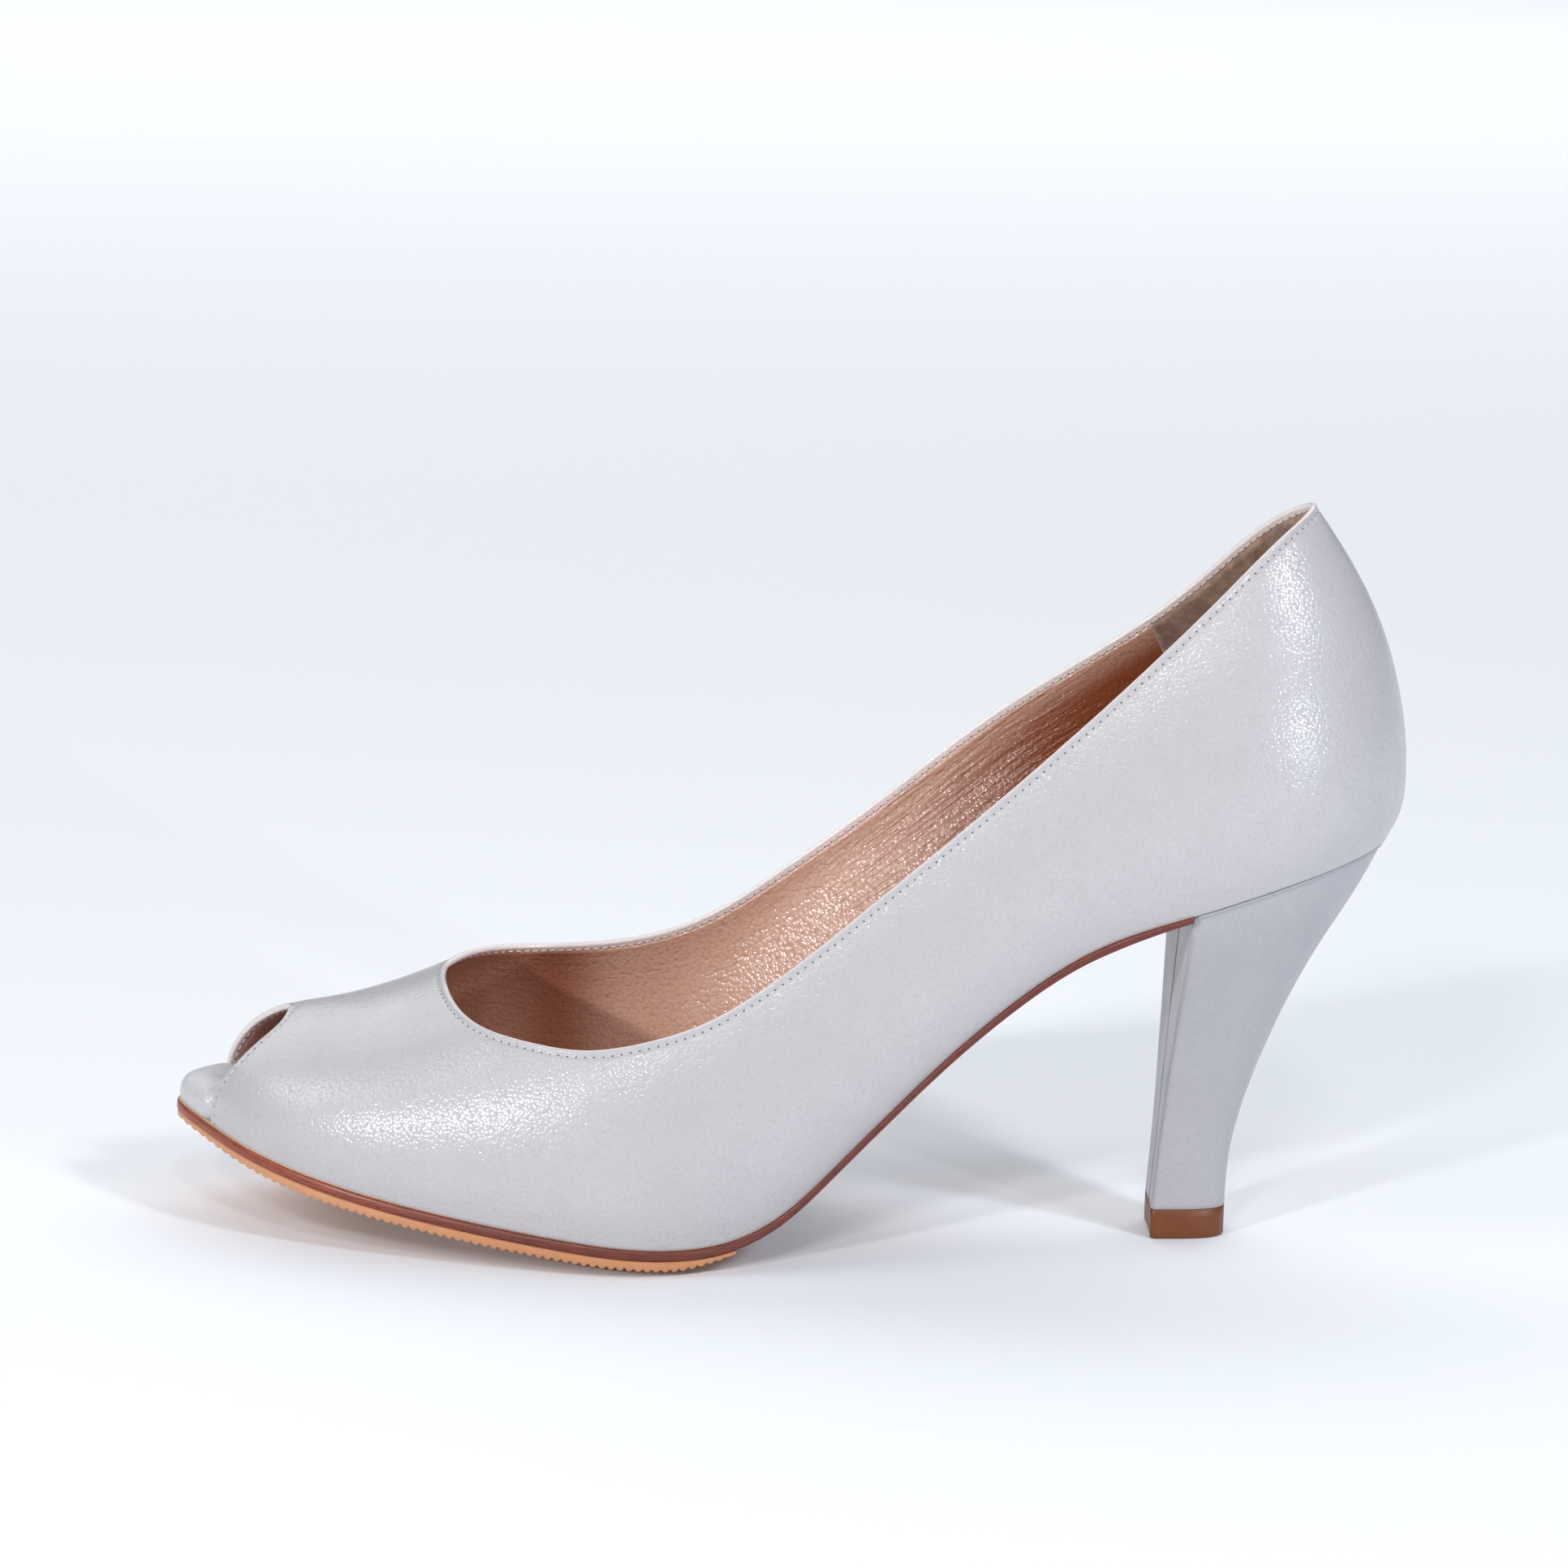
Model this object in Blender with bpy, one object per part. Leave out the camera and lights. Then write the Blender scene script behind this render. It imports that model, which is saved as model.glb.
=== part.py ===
"""A peep-toe court shoe for the left foot, built from the sizes of its last.

The frame: toe along -X, heel along +X, the outer side of the foot (lateral) along -Y,
the inner side (medial) along +Y, +Z up, the floor at Z = 0 and the origin at the middle
of the floor box. Sizes and tables are in millimetres; meshes are made in metres.
"""

import math

import bmesh
import bpy
import numpy as np

MM = 0.001

# Main sizes.
TOE_X = -113.0          # front of the featherline, where upper and sole meet
HEEL_X = 111.8          # back of the featherline
CENTRE_X = 0.63         # middle of the whole shoe, measured from the working zero
CENTRE_Y = 2.12
WALL = 1.8              # leather, stiffener and lining of the upper
GAP = 0.3               # clearance between pieces that are glued in the real shoe
LATERAL = -1
MEDIAL = 1

# Sole, tread and insole.
SOLE_THICK = 1.7
SOLE_WAIST_THICK = 1.5
SOLE_BREAST_THICK = 0.9
SOLE_PROUD = 0.8        # how far the sole stands out beyond the upper
WAIST_START_X = -15.0   # the sole thins towards the waist between these two places
WAIST_END_X = 15.0
BREAST_THIN_X = 58.0    # and again from here to the breast of the heel
TREAD_THICK = 1.6
TREAD_INSET = 0.1
TREAD_END_X = -8.0
FIRST_RIB_X = TOE_X + 1.2
RIB_PITCH = 1.65
RIB_DEPTH = 0.5
RIB_CREST = 0.55        # share of the pitch that is crest
INSOLE_THICK = 3.2
INSOLE_INSET = 2.6
INSOLE_THIN_X = -40.0   # behind this the insole has its plain thickness
TOE_COVER_THICK = 7.0
TOE_COVER_TIP_THICK = 5.2
TOE_COVER_FULL_X = -102.0
TOE_COVER_END_X = -93.0
TOE_COVER_INSET = -0.2  # in the open toe, a little beyond the upper
TOE_COVER_TUCK = (0.0196, 0.0266)   # shares of the length between which it draws in under the upper
TIP_SHARE = 0.0006      # the outline is cut off this close to its two ends

# Heel block and top lift.
BREAST_X = 74.3
LIFT_HEIGHT = 5.7
HEEL_SEAT_INSET = 0.4
BREAST_HOLLOW = 1.0
BREAST_FLAT_FOOT = 0.60     # share of the half width that is flat breast, at the foot
BREAST_FLAT_SEAT = 0.94     # and at the seat
BREAST_CORNER = 0.035       # how far back the breast corner turns, as a share of the length
BREAST_CORNER_TURN = 0.12
FOOT_SQUARENESS = 3.2       # power of the rounded section at the foot
SEAT_BLEND = 1.5            # how late the section takes the shape of the seat
LIFT_BEVEL = 0.4

# Opening at the collar and opening at the toe.
THROAT_X = -63.0
PEEP_LOW = {LATERAL: 0.0285, MEDIAL: 0.0280}    # share of the length at the foot of the toe opening
PEEP_HIGH = 0.042       # and at its top
PEEP_TURN = (0.42, 0.95)    # height shares between which the edge runs back
LOWEST_COLLAR = 0.2     # no column is cut lower than this height share

# Grids of the pieces.
TOE_COLUMNS = 13
TOE_SPACING = 1.3       # columns are closer together near the toe opening
SIDE_COLUMNS = 30
ROWS = 13
SOLE_STATIONS = 34
INSOLE_STATIONS = 30
TOE_COVER_STATIONS = 20
HEEL_LEVELS = 14
HEEL_POINTS = 10        # round each half of the back of the heel
ACROSS = 3              # points across the middle of a plate
TOE_COVER_ACROSS = 2
HALVINGS = 50           # steps of a search by halving
SMALL_TURN = 0.002      # angle over which the direction of the outline is measured

# Featherline seen from above: x, lateral y, medial y.
PLAN = (
    (-113.0, 12.0, 12.0),
    (-106.5, -0.3, 22.0),
    (-99.0, -9.5, 27.5),
    (-84.0, -19.3, 33.0),
    (-62.0, -27.0, 37.5),
    (-42.0, -32.3, 38.5),
    (-25.0, -34.0, 36.0),
    (-5.0, -29.5, 29.0),
    (15.0, -25.0, 21.5),
    (35.0, -23.4, 18.5),
    (55.0, -23.3, 19.5),
    (74.0, -23.5, 22.5),
    (93.0, -20.6, 20.6),
    (106.0, -12.7, 12.7),
    (111.8, 0.0, 0.0),
)

# Height of the featherline: x, lateral z, medial z, sag of the middle.
FEATHER = (
    (-113.0, 20.1, 20.1, 0.0),
    (-100.0, 17.0, 17.0, 0.5),
    (-85.0, 13.4, 13.4, 0.9),
    (-62.0, 9.3, 9.3, 1.4),
    (-40.0, 6.6, 6.6, 1.9),
    (-20.0, 5.0, 5.2, 2.1),
    (-10.0, 5.8, 6.6, 1.9),
    (-3.0, 8.3, 9.7, 1.5),
    (3.0, 12.3, 14.0, 1.1),
    (10.0, 18.9, 21.0, 0.8),
    (20.0, 29.0, 31.2, 0.6),
    (30.0, 39.0, 41.0, 0.4),
    (40.0, 48.0, 49.5, 0.3),
    (55.0, 58.8, 59.6, 0.1),
    (74.0, 66.2, 66.2, 0.0),
    (92.0, 71.8, 71.8, 0.0),
    (111.8, 77.2, 77.2, 0.0),
)

# Ridge over the foot, behind the throat only a guide for the side walls: x, z, y.
RIDGE = (
    (-100.0, 35.8, 12.0),
    (-92.0, 38.4, 11.2),
    (-84.0, 39.8, 10.6),
    (-74.0, 42.4, 9.8),
    (-63.0, 46.7, 8.8),
    (-50.0, 53.0, 7.4),
    (-36.0, 59.5, 5.8),
    (-20.0, 67.0, 4.2),
    (-5.0, 77.5, 3.0),
    (10.0, 91.0, 1.8),
    (25.0, 104.5, 0.9),
    (40.0, 116.5, 0.4),
    (55.0, 127.5, 0.1),
    (71.0, 140.0, 0.0),
    (86.0, 152.0, 0.0),
)

# Fullness of the walls: x, lateral swell, medial swell, height share of the widest line on the
# lateral and the medial side, lateral power, medial power. A higher power makes a squarer shoulder.
SWELL = (
    (-113.0, 0.00, 0.00, 0.18, 0.18, 2.10, 2.10),
    (-85.0, 0.03, 0.03, 0.18, 0.18, 2.10, 2.20),
    (-63.0, 0.04, 0.04, 0.17, 0.17, 2.10, 2.45),
    (-40.0, 0.04, 0.05, 0.17, 0.17, 2.10, 2.45),
    (-20.0, 0.05, 0.10, 0.18, 0.28, 2.10, 2.45),
    (10.0, 0.10, 0.34, 0.24, 0.50, 2.05, 2.80),
    (35.0, 0.13, 0.50, 0.27, 0.52, 2.00, 2.80),
    (55.0, 0.13, 0.36, 0.28, 0.44, 2.00, 2.50),
    (74.0, 0.13, 0.18, 0.28, 0.32, 2.00, 2.15),
    (93.0, 0.14, 0.14, 0.26, 0.26, 2.00, 2.00),
    (111.8, 0.14, 0.14, 0.22, 0.22, 2.00, 2.00),
)

# End profiles in the middle plane: height share, toe x.
TOE_PROFILE = ((0.0, -113.0), (0.25, -112.4), (0.5, -110.5), (0.75, -106.7), (1.0, -100.0))

# Height share, back x.
BACK_PROFILE = (
    (0.0, 111.8),
    (0.05, 113.75),
    (0.158, 114.9),
    (0.25, 114.5),
    (0.40, 112.4),
    (0.536, 109.0),
    (0.698, 102.5),
    (0.82, 96.2),
    (1.0, 86.0),
)

# Edge of the collar: x, lateral z, medial z.
TOPLINE = (
    (-63.0, 46.7, 46.7),
    (-62.3, 46.2, 46.8),
    (-60.5, 45.0, 47.1),
    (-57.5, 43.5, 47.2),
    (-53.5, 42.4, 46.9),
    (-47.5, 41.6, 46.5),
    (-41.5, 41.1, 46.3),
    (-35.5, 41.1, 46.5),
    (-24.0, 43.2, 48.4),
    (-12.0, 47.3, 53.5),
    (0.0, 54.8, 62.0),
    (20.0, 71.2, 77.8),
    (40.0, 88.6, 94.2),
    (60.0, 107.0, 107.9),
    (78.0, 124.2, 122.6),
    (89.0, 134.0, 133.8),
    (96.0, 138.8, 138.8),
)

# Edge of the sole from the bottom up: inset, share of the thickness below the upper.
SOLE_EDGE = ((0.45, 1.0), (0.0, 0.72), (0.0, 0.25), (0.3, 0.0))

# Edge of the toe cover from the bottom up: inset, share of the thickness above the sole.
TOE_COVER_EDGE = ((0.2, 0.0), (0.0, 0.2), (0.25, 0.48), (1.2, 0.76), (2.8, 0.93), (5.0, 1.0))

# Heel block: height share, breast x, back x, half width.
HEEL = (
    (0.0, 69.9, 84.2, 6.6),
    (0.13, 70.5, 84.7, 6.9),
    (0.26, 71.1, 86.5, 8.0),
    (0.43, 71.8, 90.5, 10.6),
    (0.61, 72.6, 96.0, 14.3),
    (0.755, 73.3, 101.6, 18.2),
    (0.89, 73.9, 107.4, 21.6),
    (1.0, 74.3, 111.4, 23.1),
)


class Curve:
    """A natural cubic curve through the knots of one table column."""

    def __init__(self, places, values):
        self.places = np.asarray(places, float)
        self.values = np.asarray(values, float)
        count = len(self.places)
        step = np.diff(self.places)
        slope = np.diff(self.values) / step
        matrix = np.eye(count)
        right = np.zeros(count)
        for i in range(1, count - 1):
            matrix[i, i - 1:i + 2] = step[i - 1], 2.0 * (step[i - 1] + step[i]), step[i]
            right[i] = 6.0 * (slope[i] - slope[i - 1])
        self.bend = np.linalg.solve(matrix, right)

    def __call__(self, place):
        place = min(max(place, self.places[0]), self.places[-1])
        i = int(np.searchsorted(self.places, place)) - 1
        i = min(max(i, 0), len(self.places) - 2)
        width = self.places[i + 1] - self.places[i]
        left = (self.places[i + 1] - place) / width
        right = 1.0 - left
        curved = (left ** 3 - left) * self.bend[i] + (right ** 3 - right) * self.bend[i + 1]
        return left * self.values[i] + right * self.values[i + 1] + curved * width * width / 6.0


def column(table, index, place=None):
    """The curve of one table column, against the first column or a function of it."""
    places = [row[0] if place is None else place(row[0]) for row in table]
    return Curve(places, [row[index] for row in table])


def turn(x):
    """The angle that stands for x along the shoe, so that both ends come out round."""
    share = (x - TOE_X) / (HEEL_X - TOE_X)
    return math.acos(min(1.0, max(-1.0, 1.0 - 2.0 * share)))


def behind_throat(x):
    """Square root of the distance behind the throat, so that the throat comes out round."""
    return math.sqrt(max(0.0, x - THROAT_X))


def smooth_step(value, start, end):
    """A soft change from 0 at start to 1 at end."""
    share = min(1.0, max(0.0, (value - start) / (end - start)))
    return share * share * (3.0 - 2.0 * share)


plan = {LATERAL: column(PLAN, 1, turn), MEDIAL: column(PLAN, 2, turn)}
feather = {LATERAL: column(FEATHER, 1), MEDIAL: column(FEATHER, 2)}
sag = column(FEATHER, 3)
ridge_z = column(RIDGE, 1)
ridge_y = column(RIDGE, 2)
swell = {LATERAL: column(SWELL, 1), MEDIAL: column(SWELL, 2)}
widest = {LATERAL: column(SWELL, 3), MEDIAL: column(SWELL, 4)}
power = {LATERAL: column(SWELL, 5), MEDIAL: column(SWELL, 6)}
toe_profile = column(TOE_PROFILE, 1)
back_profile = column(BACK_PROFILE, 1)
topline = {LATERAL: column(TOPLINE, 1, behind_throat), MEDIAL: column(TOPLINE, 2, behind_throat)}
heel_front = column(HEEL, 1)
heel_back = column(HEEL, 2)
heel_half = column(HEEL, 3)


def last_point(side, share, height):
    """A point of the outer face of the upper.

    share runs from 0 at the toe to 1 at the back of the heel, height from 0 at the
    featherline to 1 at the ridge.
    """
    low_x = TOE_X + (HEEL_X - TOE_X) * share
    high_x = toe_profile(1.0) + (back_profile(1.0) - toe_profile(1.0)) * share
    x = toe_profile(height) + (back_profile(height) - toe_profile(height)) * share
    low_z = feather[side](low_x)
    high_z = ridge_z(high_x)
    centre = ridge_y(high_x)
    fullness = 1.0 + swell[side](low_x)
    reach = (plan[side](turn(low_x)) - centre) * fullness
    wide_at = widest[side](low_x)
    if height < wide_at:
        spread = 1.0 - (1.0 - 1.0 / fullness) * (1.0 - height / wide_at) ** 2
    else:
        rise = (height - wide_at) / (1.0 - wide_at)
        bend = power[side](low_x)
        spread = max(0.0, 1.0 - rise ** bend) ** (1.0 / bend)
    return x, centre + reach * spread, low_z + (high_z - low_z) * height


def peep_share(side, height):
    """Share of the length at the edge of the toe opening."""
    low = PEEP_LOW[side]
    return low + (PEEP_HIGH - low) * smooth_step(height, *PEEP_TURN)


def at_column(side, along, height):
    """A point of the upper by its column, which runs from the toe opening to the heel."""
    front = peep_share(side, height)
    return last_point(side, front + (1.0 - front) * along, height)


def collar_height(side, along):
    """Height share at which a column meets the edge of the collar."""
    low, high = LOWEST_COLLAR, 1.0
    for _ in range(HALVINGS):
        middle = 0.5 * (low + high)
        x, _, z = at_column(side, along, middle)
        if z < topline[side](behind_throat(x)):
            low = middle
        else:
            high = middle
    return 0.5 * (low + high)


def throat_column():
    """The column that reaches the ridge at the throat."""
    start, end = toe_profile(1.0), back_profile(1.0)
    share = (THROAT_X - start) / (end - start)
    return (share - PEEP_HIGH) / (1.0 - PEEP_HIGH)


def column_places():
    """Columns from the toe opening to the throat, then round the collar to the heel."""
    throat = throat_column()
    toe = [throat * (i / TOE_COLUMNS) ** TOE_SPACING for i in range(TOE_COLUMNS)]
    steps = [0.5 - 0.5 * math.cos(math.pi * i / SIDE_COLUMNS) for i in range(SIDE_COLUMNS + 1)]
    return toe + [throat + (1.0 - throat) * step for step in steps]


def outline(side, share, inset):
    """A point of the featherline seen from above, moved inwards by inset."""
    angle = math.acos(1.0 - 2.0 * share)
    ends = []
    for near in (max(0.0, angle - SMALL_TURN), min(math.pi, angle + SMALL_TURN)):
        ends.append((TOE_X + (HEEL_X - TOE_X) * (1.0 - math.cos(near)) / 2.0, plan[side](near)))
    run_x = ends[1][0] - ends[0][0]
    run_y = ends[1][1] - ends[0][1]
    length = math.hypot(run_x, run_y)
    x = TOE_X + (HEEL_X - TOE_X) * share
    y = plan[side](angle)
    return x + side * inset * run_y / length, y - side * inset * run_x / length


def bed(x, y):
    """Height of the bottom of the last."""
    angle = turn(x)
    low_y, high_y = plan[LATERAL](angle), plan[MEDIAL](angle)
    across = (2.0 * y - low_y - high_y) / max(1.0, high_y - low_y)
    across = min(1.0, max(-1.0, across))
    tilt = 0.5 * (1.0 + across)
    edge = feather[LATERAL](x) * (1.0 - tilt) + feather[MEDIAL](x) * tilt
    return edge - sag(x) * (1.0 - across * across)


def share_at(x):
    """Share of the length at a place along the shoe."""
    return (x - TOE_X) / (HEEL_X - TOE_X)


def round_places(start, end, count):
    """Shares of the length, close together at the two ends of the shoe."""
    first = math.acos(1.0 - 2.0 * start)
    last = math.acos(1.0 - 2.0 * end)
    turns = [first + (last - first) * i / count for i in range(count + 1)]
    return [0.5 - 0.5 * math.cos(angle) for angle in turns]


def make_object(name, points, faces, material):
    """A named object from points in millimetres, with all faces turned outwards."""
    mesh = bpy.data.meshes.new(name)
    moved = [((x - CENTRE_X) * MM, (y - CENTRE_Y) * MM, z * MM) for x, y, z in points]
    mesh.from_pydata(moved, [], faces)
    build = bmesh.new()
    build.from_mesh(mesh)
    bmesh.ops.recalc_face_normals(build, faces=build.faces)
    bmesh.ops.triangulate(build, faces=build.faces)
    build.to_mesh(mesh)
    build.free()
    made = bpy.data.objects.new(name, mesh)
    bpy.context.scene.collection.objects.link(made)
    made.data.materials.append(material)
    return made


def make_material(name, colour, roughness):
    """A plain Principled material."""
    material = bpy.data.materials.new(name)
    material.use_nodes = True
    shader = material.node_tree.nodes["Principled BSDF"]
    shader.inputs["Base Color"].default_value = (*colour, 1.0)
    shader.inputs["Roughness"].default_value = roughness
    return material


def plate(name, stations, levels, across, material):
    """A plate under the foot, stacked from outlines.

    stations gives the shares of the length for a side and an inset. Each level is a pair
    of functions: inset at a share of the length, and height at a point of a station. The
    first level is the bottom and the last is the top. Both get extra points across, so
    that they can sag in the middle.
    """
    edges = {}
    for side in (LATERAL, MEDIAL):
        for level, (inset, height) in enumerate(levels):
            line = []
            for station, share in enumerate(stations(side, inset)):
                x, y = outline(side, share, inset(share))
                line.append((x, y, height(x, y, station)))
            edges[side, level] = line
    count = len(edges[LATERAL, 0])
    order = range(len(levels))
    top = len(levels) - 1
    rings = []
    for i in range(count):
        left = [edges[LATERAL, level][i] for level in order]
        right = [edges[MEDIAL, level][i] for level in order]
        ring = list(left)
        ring += between(left[top], right[top], across, levels[top][1], i)
        ring += reversed(right)
        ring += between(right[0], left[0], across, levels[0][1], i)
        rings.append(ring)
    points = [point for ring in rings for point in ring]
    size = len(rings[0])
    faces = []
    for i in range(count - 1):
        for j in range(size):
            k = (j + 1) % size
            faces.append((i * size + j, i * size + k, (i + 1) * size + k, (i + 1) * size + j))
    for start in (0, (count - 1) * size):
        faces += end_strips(start, len(levels), across)
    return make_object(name, points, faces, material)


def share_where(side, inset, x):
    """Share of the length at which an inset outline passes x."""
    low, high = 0.0, 1.0
    for _ in range(HALVINGS):
        middle = 0.5 * (low + high)
        if outline(side, middle, inset(middle))[0] < x:
            low = middle
        else:
            high = middle
    return 0.5 * (low + high)


def between(first, last, count, height, station):
    """Points across a plate, between its two edges."""
    points = []
    for i in range(1, count + 1):
        part = i / (count + 1)
        x = first[0] + (last[0] - first[0]) * part
        y = first[1] + (last[1] - first[1]) * part
        points.append((x, y, height(x, y, station)))
    return points


def end_strips(start, levels, across):
    """Faces that close one end of a plate, one strip for each pair of levels."""
    size = 2 * (levels + across)
    left = [start + i for i in range(levels)]
    right = [start + 2 * levels + across - 1 - i for i in range(levels)]
    over = [start + levels + i for i in range(across)]
    under = [start + size - across + i for i in range(across)]
    strips = []
    for i in range(levels - 1):
        strip = [left[i], left[i + 1]]
        if i == levels - 2:
            strip += over
        strip += [right[i + 1], right[i]]
        if i == 0:
            strip += under
        strips.append(strip)
    return strips


def build_upper(material):
    """One wall from the featherline to the collar, open at the toe and underneath."""
    places = column_places()
    last = len(places) - 1
    points, faces, known = [], [], {}

    def vertex(side, i, j, top):
        key = (side, i, j)
        if j == ROWS and i <= TOE_COLUMNS:
            key = (0, i, j)
        elif i == last:
            key = (0, i, j)
        if key not in known:
            height = math.sin(0.5 * math.pi * top * j / ROWS)
            known[key] = len(points)
            points.append(at_column(side, places[i], height))
        return known[key]

    for side in (LATERAL, MEDIAL):
        tops = []
        for i, along in enumerate(places):
            height = 1.0 if i <= TOE_COLUMNS else collar_height(side, along)
            tops.append(math.asin(height) / (0.5 * math.pi))
        for i in range(last):
            for j in range(ROWS):
                face = [vertex(side, i, j, tops[i]), vertex(side, i + 1, j, tops[i + 1]),
                        vertex(side, i + 1, j + 1, tops[i + 1]), vertex(side, i, j + 1, tops[i])]
                faces.append(face if side == LATERAL else face[::-1])
    return thicken("upper", points, faces, material)


def thicken(name, points, faces, material):
    """A skin given its wall thickness on the inside."""
    skin = bpy.data.meshes.new(name)
    moved = [((x - CENTRE_X) * MM, (y - CENTRE_Y) * MM, z * MM) for x, y, z in points]
    skin.from_pydata(moved, [], faces)
    made = bpy.data.objects.new(name, skin)
    bpy.context.scene.collection.objects.link(made)
    wall = made.modifiers.new("wall", "SOLIDIFY")
    wall.thickness = WALL * MM
    wall.offset = -1.0
    wall.use_even_offset = True
    wall.use_quality_normals = True
    graph = bpy.context.evaluated_depsgraph_get()
    solid = bpy.data.meshes.new_from_object(made.evaluated_get(graph))
    made.modifiers.clear()
    made.data = solid
    build = bmesh.new()
    build.from_mesh(solid)
    bmesh.ops.triangulate(build, faces=build.faces)
    build.to_mesh(solid)
    build.free()
    made.data.materials.append(material)
    return made


def sole_thick(x):
    """Thickness of the leather sole, thinner behind the tread and thinnest at the heel."""
    waist = SOLE_THICK + (SOLE_WAIST_THICK - SOLE_THICK) * smooth_step(x, WAIST_START_X, WAIST_END_X)
    return waist + (SOLE_BREAST_THICK - SOLE_WAIST_THICK) * smooth_step(x, BREAST_THIN_X, BREAST_X)


def build_outsole(material):
    """The leather sole from the toe to the breast of the heel."""
    def stations(side, inset):
        return round_places(TIP_SHARE, share_where(side, inset, BREAST_X - GAP), SOLE_STATIONS)

    def level(extra, part):
        return (lambda share: extra - SOLE_PROUD,
                lambda x, y, station: bed(x, y) - GAP - sole_thick(x) * part)

    levels = [level(extra, part) for extra, part in SOLE_EDGE]
    return plate("outsole", stations, levels, ACROSS, material)


def rib_stations():
    """Shares of the length along the ribs of the tread, and the lift of each from its crest."""
    shares, lifts = [TIP_SHARE], [RIB_DEPTH]
    for i in range(int((TREAD_END_X - FIRST_RIB_X) / RIB_PITCH)):
        x = FIRST_RIB_X + i * RIB_PITCH
        for part, lift in ((0.0, 0.0), (RIB_CREST, 0.0), (0.5 + 0.5 * RIB_CREST, RIB_DEPTH)):
            shares.append(share_at(x + part * RIB_PITCH))
            lifts.append(lift)
    return shares + [share_at(TREAD_END_X)], lifts + [0.0]


def build_tread(material):
    """The ribbed rubber forepart, flat on the floor under the ball of the foot."""
    shares, lifts = rib_stations()

    def inset(share):
        return TREAD_INSET - SOLE_PROUD

    def top(x, y, station):
        return bed(x, y) - 2.0 * GAP - sole_thick(x)

    def bottom(x, y, station):
        return max(0.0, top(x, y, station) - TREAD_THICK) + lifts[station]

    levels = [(inset, bottom), (inset, top)]
    return plate("tread", lambda side, inset: shares, levels, ACROSS, material)


def build_insole(material):
    """The insole inside the upper, from the toe cover to the heel."""
    def stations(side, inset):
        start = share_where(side, inset, TOE_COVER_END_X + GAP)
        return round_places(start, 1.0 - TIP_SHARE, INSOLE_STATIONS)

    def inset(share):
        return INSOLE_INSET

    def bottom(x, y, station):
        return bed(x, y)

    def top(x, y, station):
        front = 1.0 - smooth_step(x, TOE_COVER_END_X, INSOLE_THIN_X)
        return bed(x, y) + INSOLE_THICK + (TOE_COVER_THICK - INSOLE_THICK) * front

    return plate("insole", stations, [(inset, bottom), (inset, top)], ACROSS, material)


def toe_cover_thick(x):
    """Thickness of the padded front, thinner at the tip."""
    back = smooth_step(x, TOE_X, TOE_COVER_FULL_X)
    return TOE_COVER_TIP_THICK + (TOE_COVER_THICK - TOE_COVER_TIP_THICK) * back


def build_toe_cover(material):
    """The padded, leather-wrapped front of the insole that shows in the open toe."""
    def stations(side, inset):
        end = share_where(side, inset, TOE_COVER_END_X)
        return round_places(TIP_SHARE, end, TOE_COVER_STATIONS)

    def level(extra, part):
        def inset(share):
            tucked = smooth_step(share, *TOE_COVER_TUCK)
            return TOE_COVER_INSET + (INSOLE_INSET - TOE_COVER_INSET) * tucked + extra

        return inset, lambda x, y, station: bed(x, y) + toe_cover_thick(x) * part

    levels = [level(extra, part) for extra, part in TOE_COVER_EDGE]
    return plate("insole_toe_cover", stations, levels, TOE_COVER_ACROSS, material)


def heel_half_ring(level):
    """Half of a heel section: share from breast to back, share of the half width."""
    flat = BREAST_FLAT_FOOT + (BREAST_FLAT_SEAT - BREAST_FLAT_FOOT) * level
    corner = (BREAST_CORNER, flat + 2.0 / 3.0 * (1.0 - flat))
    ring = [(0.0, 0.0), (0.0, 0.5 * flat), (0.0, flat), corner]
    seat_half = heel_half(1.0) + HEEL_SEAT_INSET
    for i in range(1, HEEL_POINTS + 1):
        angle = math.pi * (BREAST_CORNER_TURN + (1.0 - BREAST_CORNER_TURN) * i / HEEL_POINTS)
        back = 0.5 - 0.5 * math.cos(angle)
        seat_x = BREAST_X + (HEEL_X - BREAST_X) * back
        seat = abs(plan[LATERAL](turn(seat_x))) / seat_half
        foot = max(0.0, 1.0 - back ** FOOT_SQUARENESS) ** (1.0 / FOOT_SQUARENESS)
        ring.append((back, foot + (min(1.0, seat) - foot) * level ** SEAT_BLEND))
    ring[-1] = (1.0, 0.0)
    return ring


def heel_ring(level, low):
    """A closed ring round the heel at a height share, standing on the height low."""
    half = heel_half_ring(level)
    front, back, width = heel_front(level), heel_back(level), heel_half(level)
    ring = []
    for side in (LATERAL, MEDIAL):
        line = half if side == LATERAL else half[-2:0:-1]
        for along, across in line:
            hollow = BREAST_HOLLOW * (1.0 - across * across) if along == 0.0 else 0.0
            x = front + (back - front) * along + hollow
            seat_x = heel_front(1.0) + (heel_back(1.0) - heel_front(1.0)) * along
            seat_z = feather[LATERAL](seat_x) - GAP
            ring.append((x, side * width * across, low + (seat_z - low) * level))
    return ring


def stack(name, rings, material):
    """A solid from closed rings, one above the other."""
    size = len(rings[0])
    points = [point for ring in rings for point in ring]
    faces = [list(range(size)), [(len(rings) - 1) * size + i for i in range(size)]]
    for i in range(len(rings) - 1):
        for j in range(size):
            k = (j + 1) % size
            faces.append((i * size + j, i * size + k, (i + 1) * size + k, (i + 1) * size + j))
    return make_object(name, points, faces, material)


def build_heel(material):
    """The covered heel block under the seat."""
    rings = [heel_ring(i / HEEL_LEVELS, LIFT_HEIGHT + GAP) for i in range(HEEL_LEVELS + 1)]
    return stack("heel", rings, material)


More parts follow.
